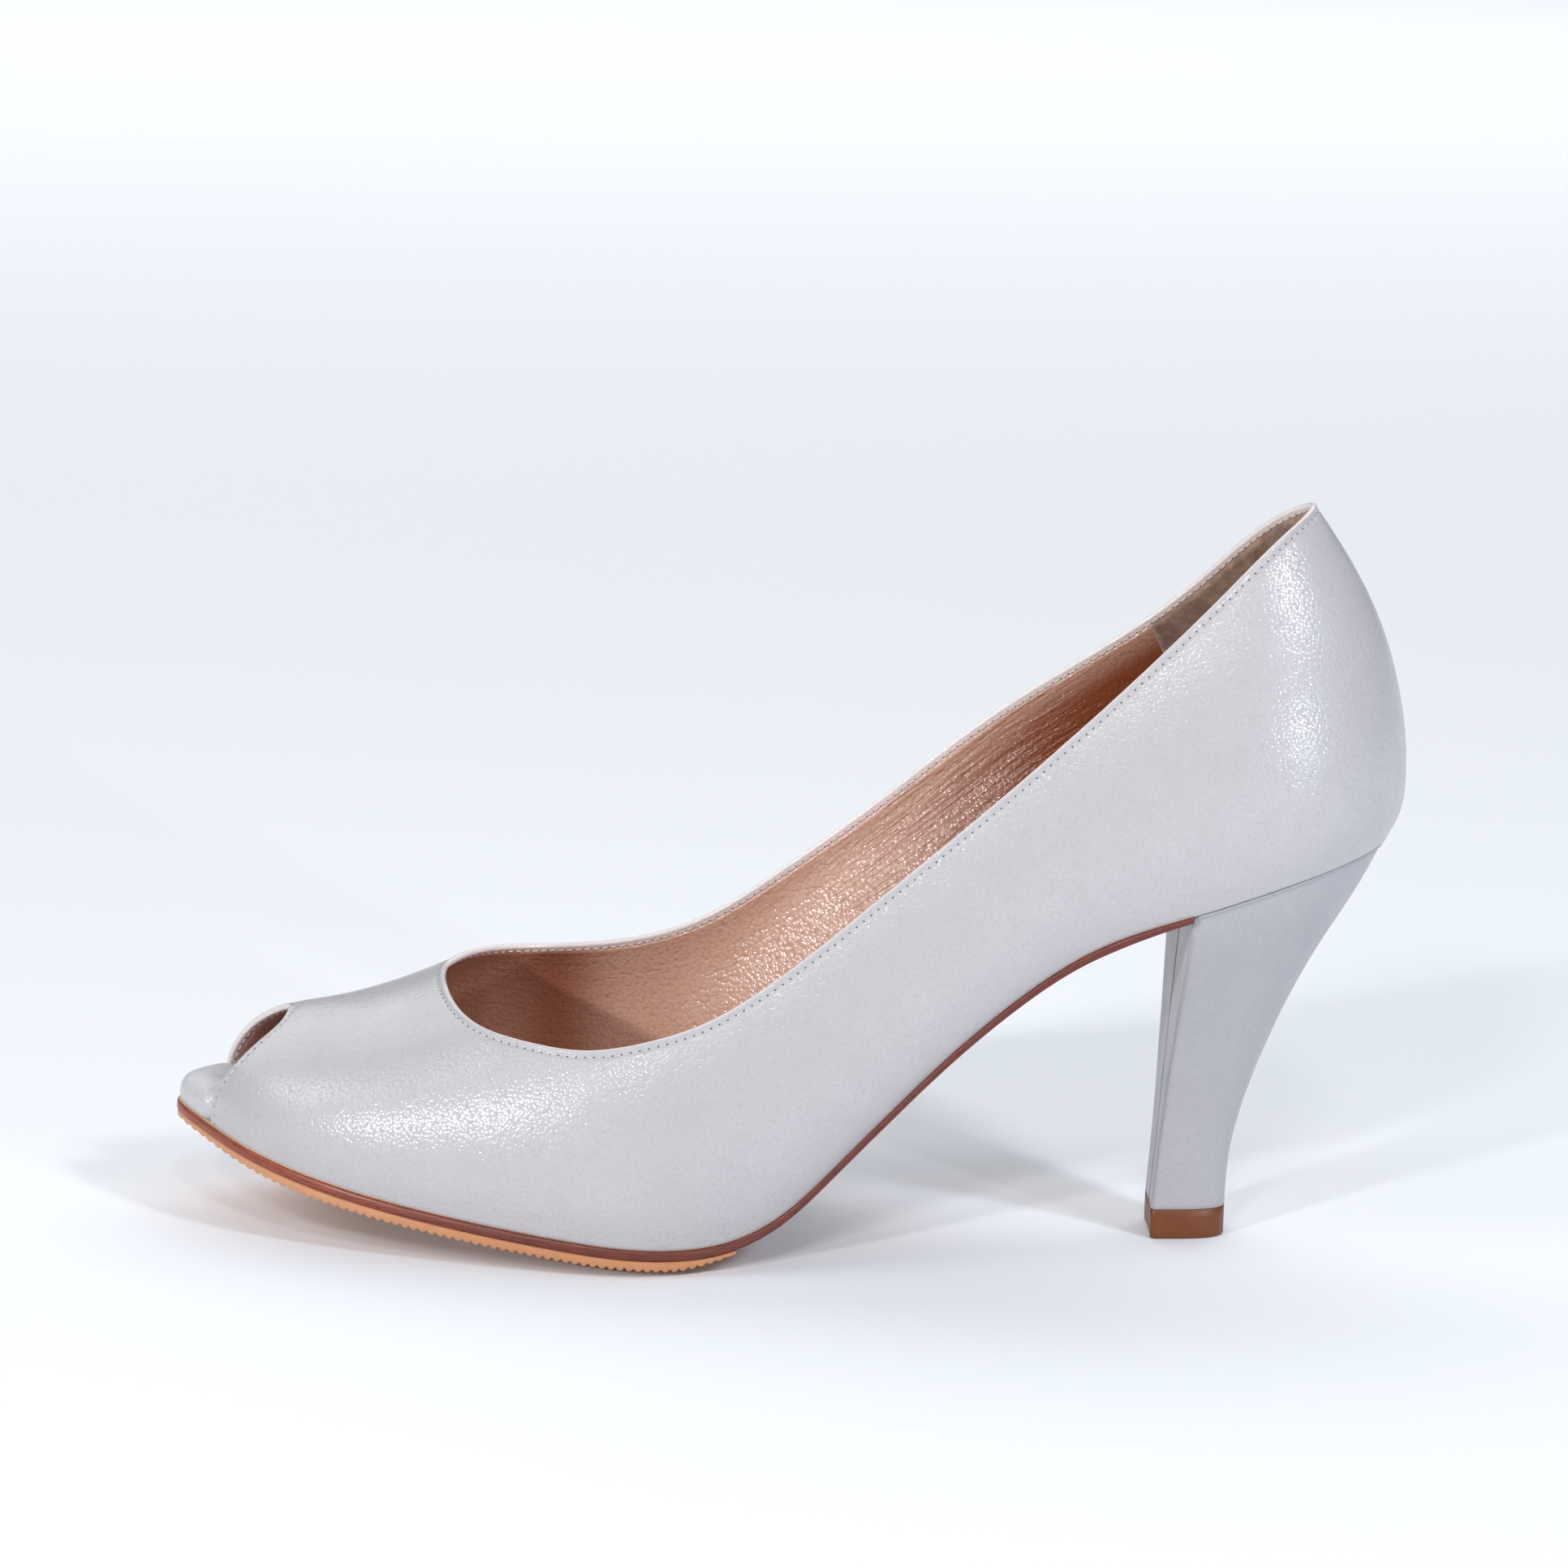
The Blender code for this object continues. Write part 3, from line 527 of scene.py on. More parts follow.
@dataclass(frozen=True)
class GrainLeather:
    """Finished calf leather: dyed through, with a pebble grain that shows in its highlights.

    The grain is drawn slightly coarser than the real one, so that it shows in the render.
    """

    name: str
    colour: str
    shade: str
    grain_mm: float = 0.68
    relief_mm: float = 0.068
    roughness: float = 0.42
    roughness_spread: Row = (-0.05, 0.07)
    coat: float = 0.6
    coat_roughness: float = 0.14
    coat_ior: float = 1.5
    mottle_mm: float = 7.0
    wave_mm: float = 11.0
    wave_relief_mm: float = 0.05
    wave_strength: float = 0.5
    crease_mm: float = 0.0
    crease_stretch: float = 0.09
    crease_cut: Row = (0.35, 0.62)
    crease_relief: float = 0.16
    crease_strength: float = 0.8
    warp_scale: float = 0.4
    pebble_power: float = 2.3
    fine_scale: float = 3.0
    fine_height: float = 0.12
    crack_shade: float = 0.8
    # Colour of a painted shadow laid along a seam groove by the surface map.
    line: str = ""
    # Colour mixed in by the piece's own numbers: painted light on the upper's rim, painted shade on the
    # lining.
    painted_light_shade_colour: str = ""

    def pebbles(self, tree: bpy.types.NodeTree, place: Any) -> tuple[Any, Any]:
        """Draw the grain: pebbles of uneven outline, with a finer grain on them.

        Args:
            tree: The material's tree.
            place: The socket of Object coordinates.

        Returns:
            The sockets of the cracks between the pebbles and of the height.
        """
        size = self.grain_mm * MM
        warp = add_node(tree, "ShaderNodeTexNoise", {"Vector": place, "Scale": self.warp_scale / size})
        shift = add_node(tree, "ShaderNodeVectorMath", {0: warp.outputs["Color"], 1: (0.5, 0.5, 0.5)},
                         operation="SUBTRACT")
        moved = add_node(tree, "ShaderNodeVectorMath", {0: shift.outputs[0], 1: (size,) * 3, 2: place},
                         operation="MULTIPLY_ADD")
        cells = add_node(tree, "ShaderNodeTexVoronoi", {"Vector": moved.outputs[0], "Scale": 1.0 / size})
        crack = add_node(tree, "ShaderNodeMath", {0: cells.outputs["Distance"], 1: self.pebble_power},
                         operation="POWER")
        pebble = add_node(tree, "ShaderNodeMath", {0: 1.0, 1: crack.outputs[0]}, operation="SUBTRACT")
        fine = add_node(tree, "ShaderNodeTexNoise",
                        {"Vector": place, "Scale": self.fine_scale / size, "Detail": 3.0})
        height = add_node(tree, "ShaderNodeMath",
                          {0: fine.outputs["Fac"], 1: self.fine_height, 2: pebble.outputs[0]},
                          operation="MULTIPLY_ADD")
        return crack.outputs[0], height.outputs[0]

    def creases(self, tree: bpy.types.NodeTree, normal: Any) -> Any:
        """Draw creases along the surface, as strong as the piece's own "worn" numbers say.

        Args:
            tree: The material's tree.
            normal: The socket of the normal that they are laid on.

        Returns:
            The socket of the new normal.
        """
        surface = add_node(tree, "ShaderNodeUVMap", uv_map="surface").outputs["UV"]
        stretch = (self.crease_stretch / self.crease_mm, 1.0 / self.crease_mm, 1.0)
        drawn = add_node(tree, "ShaderNodeVectorMath", {0: surface, 1: stretch}, operation="MULTIPLY")
        crease = add_node(tree, "ShaderNodeTexNoise",
                          {"Vector": drawn.outputs[0], "Scale": 1.0, "Detail": 3.0, "Distortion": 0.6})
        low, high = self.crease_cut
        ridge = add_node(tree, "ShaderNodeMapRange",
                         {"Value": crease.outputs["Fac"], "From Min": low, "From Max": high},
                         interpolation_type="SMOOTHSTEP")
        worn = add_node(tree, "ShaderNodeAttribute", attribute_name="worn").outputs["Fac"]
        relief = add_node(tree, "ShaderNodeMath", {0: ridge.outputs["Result"], 1: worn},
                          operation="MULTIPLY")
        depth = self.crease_relief * self.crease_mm * MM
        bump = add_node(tree, "ShaderNodeBump",
                        {"Strength": self.crease_strength, "Distance": depth, "Height": relief.outputs[0],
                         "Normal": normal})
        return bump.outputs["Normal"]

    def material(self) -> bpy.types.Material:
        """Make the material: mottled colour, pebbles on soft waves, and a thin gloss.

        Returns:
            The material.
        """
        tree, shader, place = start_material(self.name)
        crack, height = self.pebbles(tree, place)
        wave = add_node(tree, "ShaderNodeTexNoise",
                        {"Vector": place, "Scale": 1.0 / (self.wave_mm * MM), "Detail": 2.0})
        soft = add_node(tree, "ShaderNodeBump",
                        {"Strength": self.wave_strength, "Distance": self.wave_relief_mm * MM,
                         "Height": wave.outputs["Fac"]}).outputs["Normal"]
        if self.crease_mm:
            soft = self.creases(tree, soft)
        normal = add_node(tree, "ShaderNodeBump",
                          {"Strength": 1.0, "Distance": self.relief_mm * MM, "Height": height,
                           "Normal": soft}).outputs["Normal"]
        mottle = add_node(tree, "ShaderNodeTexNoise",
                          {"Vector": place, "Scale": 1.0 / (self.mottle_mm * MM),
                           "Detail": 4.0}).outputs["Fac"]
        dark = add_node(tree, "ShaderNodeMath", {0: crack, 1: self.crack_shade, 2: mottle},
                        operation="MULTIPLY_ADD")
        tone = add_node(tree, "ShaderNodeMix",
                        {0: dark.outputs[0], 6: linear(self.colour), 7: linear(self.shade)},
                        data_type="RGBA")
        # Mixes in a second colour by the piece's own numbers: painted light on the upper's rim and inside
        # face, painted shade on the lining.
        if self.painted_light_shade_colour:
            painted_light_shade = add_node(tree, "ShaderNodeAttribute", attribute_name="painted_light_shade").outputs["Fac"]
            tone = add_node(tree, "ShaderNodeMix", {0: painted_light_shade, 6: tone.outputs[2], 7: linear(self.painted_light_shade_colour)},
                            data_type="RGBA")
        # Painted shade: a dark line laid along the surface map, for the shadow inside a seam groove.
        if self.line:
            seam = add_node(tree, "ShaderNodeUVMap", uv_map="surface").outputs["UV"]
            across = add_node(tree, "ShaderNodeSeparateXYZ", {0: seam}).outputs["X"]
            tone = add_node(tree, "ShaderNodeMix", {0: across, 6: tone.outputs[2], 7: linear(self.line)},
                            data_type="RGBA")
        low, high = (self.roughness + change for change in self.roughness_spread)
        rough = add_node(tree, "ShaderNodeMapRange",
                         {"Value": mottle, **NOISE_RANGE, "To Min": low, "To Max": high})
        feed(tree, shader, {"Base Color": tone.outputs[2], "Roughness": rough.outputs["Result"],
                            "Normal": normal, "Coat Normal": normal, "Coat Weight": self.coat,
                            "Coat Roughness": self.coat_roughness, "Coat IOR": self.coat_ior})
        return bpy.data.materials[self.name]


@dataclass(frozen=True)
class Suede:
    """Split leather with a raised nap: no gloss, a soft sheen and a brushed, blotchy tone."""

    name: str
    colour: str
    shade: str
    nap_mm: float = 0.5
    brushed_scale: float = 0.18
    relief_mm: float = 0.22
    relief_strength: float = 0.9
    roughness: float = 0.95
    specular: float = 0.2
    sheen: float = 0.35
    sheen_roughness: float = 0.5

    def material(self) -> bpy.types.Material:
        """Make the material: nap in two sizes, brushed light and dark.

        Returns:
            The material.
        """
        tree, shader, place = start_material(self.name)
        size = self.nap_mm * MM
        nap = add_node(tree, "ShaderNodeTexNoise",
                       {"Vector": place, "Scale": 1.0 / size, "Detail": 6.0, "Roughness": 0.75})
        brushed = add_node(tree, "ShaderNodeTexNoise",
                           {"Vector": place, "Scale": self.brushed_scale / size, "Detail": 3.0})
        both = add_node(tree, "ShaderNodeMath", {0: nap.outputs["Fac"], 1: brushed.outputs["Fac"]},
                        operation="ADD")
        tone = add_node(tree, "ShaderNodeMapRange", {"Value": both.outputs[0], **TWO_NOISES_RANGE})
        mix = add_node(tree, "ShaderNodeMix",
                       {0: tone.outputs["Result"], 6: linear(self.shade), 7: linear(self.colour)},
                       data_type="RGBA")
        bump = add_node(tree, "ShaderNodeBump",
                        {"Strength": self.relief_strength, "Distance": self.relief_mm * MM,
                         "Height": nap.outputs["Fac"]})
        feed(tree, shader, {"Base Color": mix.outputs[2], "Normal": bump.outputs["Normal"],
                            "Roughness": self.roughness, "Specular IOR Level": self.specular,
                            "Sheen Weight": self.sheen, "Sheen Roughness": self.sheen_roughness})
        return bpy.data.materials[self.name]


@dataclass(frozen=True)
class EdgeLeather:
    """Sole leather, cut, stained and burnished: long fibres and a broken gloss along its edge."""

    name: str
    colour: str
    shade: str
    seam: str
    worn: str
    # Colour of the painted shade that darkens the edge from the toe to the ball.
    fibre_mm: float = 0.35
    relief_mm: float = 0.06
    relief_strength: float = 0.7
    streak: Row = (0.25, 9.0, 1.0)
    seam_level: Row = (0.90, 0.95)
    seam_uneven: float = 0.12
    roughness: Row = (0.34, 0.6)
    coat: float = 0.3
    coat_roughness: float = 0.25

    def material(self) -> bpy.types.Material:
        """Make the material: streaks along the edge, and the pale line where the upper is glued on.

        Returns:
            The material.
        """
        tree, shader, place = start_material(self.name)
        surface = add_node(tree, "ShaderNodeUVMap", uv_map="surface").outputs["UV"]
        run = add_node(tree, "ShaderNodeVectorMath", {0: surface, 1: self.streak}, operation="MULTIPLY")
        streak = add_node(tree, "ShaderNodeTexNoise",
                          {"Vector": run.outputs[0], "Scale": 1.0, "Detail": 4.0})
        fibre = add_node(tree, "ShaderNodeTexNoise",
                         {"Vector": place, "Scale": 1.0 / (self.fibre_mm * MM),
                          "Detail": 4.0}).outputs["Fac"]
        grain = add_node(tree, "ShaderNodeMath", {0: streak.outputs["Fac"], 1: fibre}, operation="ADD")
        tone = add_node(tree, "ShaderNodeMapRange", {"Value": grain.outputs[0], **TWO_NOISES_RANGE})
        base = add_node(tree, "ShaderNodeMix",
                        {0: tone.outputs["Result"], 6: linear(self.shade), 7: linear(self.colour)},
                        data_type="RGBA")
        level = add_node(tree, "ShaderNodeSeparateXYZ", {0: surface}).outputs["Y"]
        uneven = add_node(tree, "ShaderNodeMath", {0: fibre, 1: self.seam_uneven, 2: level},
                          operation="MULTIPLY_ADD")
        low, high = self.seam_level
        top = add_node(tree, "ShaderNodeMapRange",
                       {"Value": uneven.outputs[0], "From Min": low, "From Max": high})
        mixed = add_node(tree, "ShaderNodeMix",
                         {0: top.outputs["Result"], 6: base.outputs[2], 7: linear(self.seam)},
                         data_type="RGBA")
        bump = add_node(tree, "ShaderNodeBump",
                        {"Strength": self.relief_strength, "Distance": self.relief_mm * MM,
                         "Height": grain.outputs[0]})
        low, high = self.roughness
        rough = add_node(tree, "ShaderNodeMapRange",
                         {"Value": fibre, **NOISE_RANGE, "To Min": low, "To Max": high})
        # The edge is darkened towards the ball as painted shade.
        feed(tree, shader, {"Base Color": paint_shade_to_ball(tree, place, mixed.outputs[2], self.worn),
                            "Roughness": rough.outputs["Result"], "Normal": bump.outputs["Normal"],
                            "Coat Weight": self.coat, "Coat Roughness": self.coat_roughness})
        return bpy.data.materials[self.name]


@dataclass(frozen=True)
class Rubber:
    """Moulded rubber: one colour through, with a fine cloudiness and a dull, slightly pitted skin."""

    name: str
    colour: str
    shade: str
    roughness: float
    roughness_spread: float = 0.06
    cloud_mm: float = 2.5
    pit_mm: float = 0.3
    relief_mm: float = 0.03
    relief_strength: float = 0.5
    # Colour of the painted shade that darkens the rubber from the toe to the ball; white leaves it
    # unchanged.
    worn: str = "#ffffff"

    def material(self) -> bpy.types.Material:
        """Make the material: clouded colour and small pits.

        Returns:
            The material.
        """
        tree, shader, place = start_material(self.name)
        cloud = add_node(tree, "ShaderNodeTexNoise",
                         {"Vector": place, "Scale": 1.0 / (self.cloud_mm * MM), "Detail": 4.0})
        pits = add_node(tree, "ShaderNodeTexNoise",
                        {"Vector": place, "Scale": 1.0 / (self.pit_mm * MM), "Detail": 3.0}).outputs["Fac"]
        mix = add_node(tree, "ShaderNodeMix",
                       {0: cloud.outputs["Fac"], 6: linear(self.colour), 7: linear(self.shade)},
                       data_type="RGBA")
        bump = add_node(tree, "ShaderNodeBump",
                        {"Strength": self.relief_strength, "Distance": self.relief_mm * MM, "Height": pits})
        low, high = self.roughness - self.roughness_spread, self.roughness + self.roughness_spread
        rough = add_node(tree, "ShaderNodeMapRange",
                         {"Value": pits, **NOISE_RANGE, "To Min": low, "To Max": high})
        # The colour is darkened towards the ball as painted shade.
        feed(tree, shader, {"Base Color": paint_shade_to_ball(tree, place, mix.outputs[2], self.worn),
                            "Roughness": rough.outputs["Result"], "Normal": bump.outputs["Normal"]})
        return bpy.data.materials[self.name]


@dataclass(frozen=True)
class Thread:
    """Bonded sewing thread, twisted: a dull sheen and a fine, uneven lay."""

    name: str
    colour: str
    shade: str
    lay_mm: float = 0.25
    roughness: float = 0.6

    def material(self) -> bpy.types.Material:
        """Make the material: fine light and dark along the thread.

        Returns:
            The material.
        """
        tree, shader, place = start_material(self.name)
        lay = add_node(tree, "ShaderNodeTexNoise",
                       {"Vector": place, "Scale": 1.0 / (self.lay_mm * MM), "Detail": 2.0})
        mix = add_node(tree, "ShaderNodeMix",
                       {0: lay.outputs["Fac"], 6: linear(self.colour), 7: linear(self.shade)},
                       data_type="RGBA")
        feed(tree, shader, {"Base Color": mix.outputs[2], "Roughness": self.roughness})
        return bpy.data.materials[self.name]


@dataclass
class Skin:
    """The upper's outer face as a grid on both sides, joined along the ridge and at the back."""

    points: np.ndarray
    faces: np.ndarray
    numbers: dict[Side, np.ndarray]
    throat: int

    @classmethod
    def over(cls, along: np.ndarray, rows: np.ndarray, throat: int) -> Skin:
        """Lay the grid over the last.

        Args:
            along: Columns, from the toe opening to the back.
            rows: Shares of each column, from the featherline to its top.
            throat: The number of the column at the throat; those before it reach the ridge.

        Returns:
            The skin.
        """
        grids = []
        for side in Side:
            top = np.ones(len(along))
            top[throat + 1:] = np.arcsin(LAST.collar_height(side, along[throat + 1:])) / (0.5 * math.pi)
            height = np.sin(0.5 * math.pi * top[:, None] * rows[None, :])
            grids.append(LAST.at_column(side, np.repeat(along[:, None], len(rows), 1), height))
        return cls.joined(grids, throat)

    @classmethod
    def joined(cls, grids: list[np.ndarray], throat: int) -> Skin:
        """Join a lateral and a medial grid along the ridge and the back column.

        Args:
            grids: Points by column and row, lateral first.
            throat: The number of the last column that reaches the ridge, or -1 for none.

        Returns:
            The skin.
        """
        columns, rows = grids[0].shape[:2]
        numbers = {side: np.arange(columns * rows).reshape(columns, rows) + i * columns * rows
                   for i, side in enumerate(Side)}
        lateral, medial = numbers[Side.LATERAL], numbers[Side.MEDIAL]
        medial[:throat + 1, -1] = lateral[:throat + 1, -1]
        medial[-1, :] = lateral[-1, :]
        faces = []
        for side in Side:
            n = numbers[side]
            quad = np.stack([n[:-1, :-1], n[1:, :-1], n[1:, 1:], n[:-1, 1:]], -1).reshape(-1, 4)
            faces.append(quad if side is Side.LATERAL else quad[:, ::-1])
        faces = np.concatenate(faces)
        used, places = np.unique(faces, return_inverse=True)
        renumber = np.zeros(2 * columns * rows, int)
        renumber[used] = np.arange(len(used))
        points = np.concatenate([grid.reshape(-1, 3) for grid in grids])[used]
        return cls(points, places.reshape(-1, 4), {s: renumber[n] for s, n in numbers.items()}, throat)

    def normals(self) -> np.ndarray:
        """Work out which way the skin faces.

        Returns:
            The outward direction at every point.
        """
        corner = self.points[self.faces]
        face = np.cross(corner[:, 2] - corner[:, 0], corner[:, 3] - corner[:, 1])
        total = np.zeros_like(self.points)
        for i in range(4):
            np.add.at(total, self.faces[:, i], face)
        return total / np.maximum(np.linalg.norm(total, axis=1), TINY)[:, None]

    def collar(self) -> np.ndarray:
        """Give the numbers of the loop round the collar, from the throat along the lateral side."""
        lateral, medial = (self.numbers[side][self.throat:, -1] for side in Side)
        return np.concatenate([lateral, medial[1:-1][::-1]])

    def peep(self) -> np.ndarray:
        """Give the numbers along the toe opening, from the lateral foot over the ridge."""
        lateral, medial = (self.numbers[side][0, :] for side in Side)
        return np.concatenate([lateral, medial[:-1][::-1]])

    def bottom(self) -> np.ndarray:
        """Give the numbers along the featherline, from the lateral toe round the heel."""
        lateral, medial = (self.numbers[side][:, 0] for side in Side)
        return np.concatenate([lateral, medial[:-1][::-1]])

    def back(self) -> np.ndarray:
        """Give the numbers up the middle of the back."""
        return self.numbers[Side.LATERAL][-1, :]

    def distance(self, chain: np.ndarray, closed: bool, step: float = 0.1) -> np.ndarray:
        """Measure every point's distance from a chain of points.

        Args:
            chain: Numbers of the chain's points.
            closed: Whether its end joins its start.
            step: Spacing at which the chain is sampled.

        Returns:
            A distance for each point.
        """
        line = self.points[chain]
        ends = np.roll(line, -1, 0) if closed else line[1:]
        samples = []
        for start, end in zip(line, ends):
            count = max(1, math.ceil(np.linalg.norm(end - start) / step))
            samples.append(start + (end - start) * np.arange(count + 1)[:, None] / count)
        samples = np.concatenate(samples)
        tree = KDTree(len(samples))
        for i, sample in enumerate(samples):
            tree.insert(sample, i)
        tree.balance()
        found = np.array([tree.find(point)[2] for point in self.points])
        found[chain] = 0.0
        return found

    def wall(self, outer: np.ndarray, inner: np.ndarray) -> tuple[np.ndarray, list]:
        """Make a wall between two offsets from the skin, which meet along its edges.

        Args:
            outer: How far each point of the outer face stands out from the skin.
            inner: The same for the inner face.

        Returns:
            Points and faces of the closed wall.
        """
        normal = self.normals()
        points = np.concatenate([self.points + normal * outer[:, None],
                                 self.points + normal * inner[:, None]])
        faces = np.concatenate([self.faces, self.faces[:, ::-1] + len(self.points)])
        return points, faces.tolist()


def graded(count: int, start: float, end: float) -> np.ndarray:
    """Give shares from 0 to 1 that lie closer together at both ends.

    Args:
        count: Number of steps.
        start: How strongly they gather at 0; 1 is even.
        end: How strongly they gather at 1.

    Returns:
        The shares.
    """
    even = np.linspace(0.0, 1.0, count + 1)
    rising = even ** start
    falling = 1.0 - (1.0 - even) ** end
    return rising * (1.0 - even) + falling * even


def rows_to_edge(coarse: int, fine: int, band: float) -> np.ndarray:
    """Give rows from the featherline to the edge, fine at the foot and in a band below the edge.

    Args:
        coarse: Number of rows below the band.
        fine: Number of rows in the band.
        band: The band's share of the column.

    Returns:
        Shares from 0 to 1.
    """
    foot, first, gather = (0.0, 0.002, 0.005, 0.010), 0.018, 1.5
    low = np.linspace(first, 1.0 - band, coarse)
    high = 1.0 - band * (1.0 - np.linspace(0.0, 1.0, fine + 1)[1:]) ** gather
    return np.concatenate([foot, low, high])


def start_group(name: str, numbers: tuple[str, ...], finishes: tuple[str, ...]) -> tuple[Any, Any, dict]:
    """Start a node tree that changes a piece's geometry.

    Args:
        name: The tree's name.
        numbers: Names of the inputs that are numbers.
        finishes: Names of the inputs that are materials.

    Returns:
        The tree, the sockets of its inputs and the identifier of each of them by name.
    """
    tree = bpy.data.node_groups.new(name, "GeometryNodeTree")
    for way in ("INPUT", "OUTPUT"):
        tree.interface.new_socket("Geometry", in_out=way, socket_type="NodeSocketGeometry")
    named = {}
    for kind, keys in (("NodeSocketFloat", numbers), ("NodeSocketMaterial", finishes)):
        for key in keys:
            named[key] = tree.interface.new_socket(key, in_out="INPUT", socket_type=kind).identifier
    return tree, add_node(tree, "NodeGroupInput").outputs, named


def run_tree(piece: bpy.types.Object, tree: bpy.types.NodeTree, settings: dict) -> bpy.types.Object:
    """Run a node tree on a piece and keep what it makes as the piece's own mesh.

    Args:
        piece: The piece.
        tree: The tree.
        settings: The value of each input, by its identifier.

    Returns:
        The same piece.
    """
    run = piece.modifiers.new(tree.name, "NODES")
    run.node_group = tree
    for key, value in settings.items():
        run[key] = value
    graph = bpy.context.evaluated_depsgraph_get()
    mesh = bpy.data.meshes.new_from_object(piece.evaluated_get(graph))
    piece.modifiers.clear()
    piece.data = mesh
    mesh.name = piece.name
    mesh.shade_smooth()
    return piece


@dataclass
class StitchRow:
    """A row of lock stitches: threads that dip into holes at an even pitch."""

    pitch_mm: float = 1.7
    thread_mm: float = 0.15
    length_mm: float = 1.25
    hole_mm: float = 0.19
    depth_mm: float = 0.06

    def tree(self) -> tuple[bpy.types.NodeTree, dict[str, str]]:
        """Build the node tree that sets threads and holes along a path.

        Returns:
            The tree and the identifier of each of its inputs by name.
        """
        tree, given, named = start_group(
            "stitch_row", ("Pitch", "Thread Radius", "Thread Length", "Hole Radius", "Hole Depth"),
            ("Thread", "Hole"))
        curve = add_node(tree, "GeometryNodeMeshToCurve", {0: given["Geometry"]})
        path = add_node(tree, "GeometryNodeResampleCurve",
                        {"Curve": curve.outputs[0], "Length": given["Pitch"]}, mode="LENGTH")
        tangent = add_node(tree, "GeometryNodeInputTangent")
        out = add_node(tree, "GeometryNodeInputNamedAttribute", {"Name": "out"}, data_type="FLOAT_VECTOR")
        first = add_node(tree, "FunctionNodeAlignRotationToVector",
                         {"Vector": tangent.outputs[0]}, axis="X", pivot_axis="AUTO")
        turned = add_node(tree, "FunctionNodeAlignRotationToVector",
                          {"Rotation": first.outputs[0], "Vector": out.outputs[0]},
                          axis="Z", pivot_axis="X")
        ball = add_node(tree, "GeometryNodeMeshUVSphere", {"Segments": 8, "Rings": 6, "Radius": 1.0})
        half = add_node(tree, "ShaderNodeMath", {0: given["Thread Length"], 1: 0.5}, operation="MULTIPLY")
        middle = add_node(tree, "ShaderNodeMath", {0: given["Pitch"], 1: 0.5}, operation="MULTIPLY")
        long = add_node(tree, "ShaderNodeCombineXYZ",
                        {0: half.outputs[0], 1: given["Thread Radius"], 2: given["Thread Radius"]})
        ahead = add_node(tree, "ShaderNodeCombineXYZ", {0: middle.outputs[0]})
        flat = add_node(tree, "ShaderNodeCombineXYZ",
                        {0: given["Hole Radius"], 1: given["Hole Radius"], 2: given["Hole Depth"]})
        shapes = []
        for scale, move, finish in ((long.outputs[0], ahead.outputs[0], given["Thread"]),
                                    (flat.outputs[0], (0.0, 0.0, 0.0), given["Hole"])):
            shape = add_node(tree, "GeometryNodeTransform",
                             {"Geometry": ball.outputs["Mesh"], "Scale": scale, "Translation": move})
            many = add_node(tree, "GeometryNodeInstanceOnPoints",
                            {"Points": path.outputs[0], "Instance": shape.outputs[0],
                             "Rotation": turned.outputs[0]})
            real = add_node(tree, "GeometryNodeRealizeInstances", {0: many.outputs[0]})
            dressed = add_node(tree, "GeometryNodeSetMaterial",
                               {"Geometry": real.outputs[0], "Material": finish})
            shapes.append(dressed.outputs[0])
        joined = add_node(tree, "GeometryNodeJoinGeometry")
        for shape in shapes:
            tree.links.new(shape, joined.inputs[0])
        add_node(tree, "NodeGroupOutput", {0: joined.outputs[0]})
        return tree, named

    def sew(self, name: str, path: np.ndarray, out: np.ndarray, closed: bool,
            thread: bpy.types.Material, hole: bpy.types.Material) -> bpy.types.Object:
        """Sew the row along a path.

        Args:
            name: The piece's name.
            path: Points of the path, in millimetres.
            out: The direction out of the leather at each point.
            closed: Whether the path's end joins its start.
            thread: Finish of the thread.
            hole: Finish of the needle holes.

        Returns:
            The stitches as a plain mesh.
        """
        count = len(path)
        edges = [(i, (i + 1) % count) for i in range(count if closed else count - 1)]
        mesh = bpy.data.meshes.new(name + "_path")
        mesh.from_pydata(LAST.in_frame(path).tolist(), edges, [])
        mesh.attributes.new("out", "FLOAT_VECTOR", "POINT").data.foreach_set("vector", out.ravel())
        piece = bpy.data.objects.new(name, mesh)
        bpy.context.scene.collection.objects.link(piece)
        tree, named = self.tree()
        sizes = {"Pitch": self.pitch_mm, "Thread Radius": self.thread_mm, "Thread Length": self.length_mm,
                 "Hole Radius": self.hole_mm, "Hole Depth": self.depth_mm}
        settings = {named[key]: value * MM for key, value in sizes.items()}
        return run_tree(piece, tree, {**settings, named["Thread"]: thread, named["Hole"]: hole})


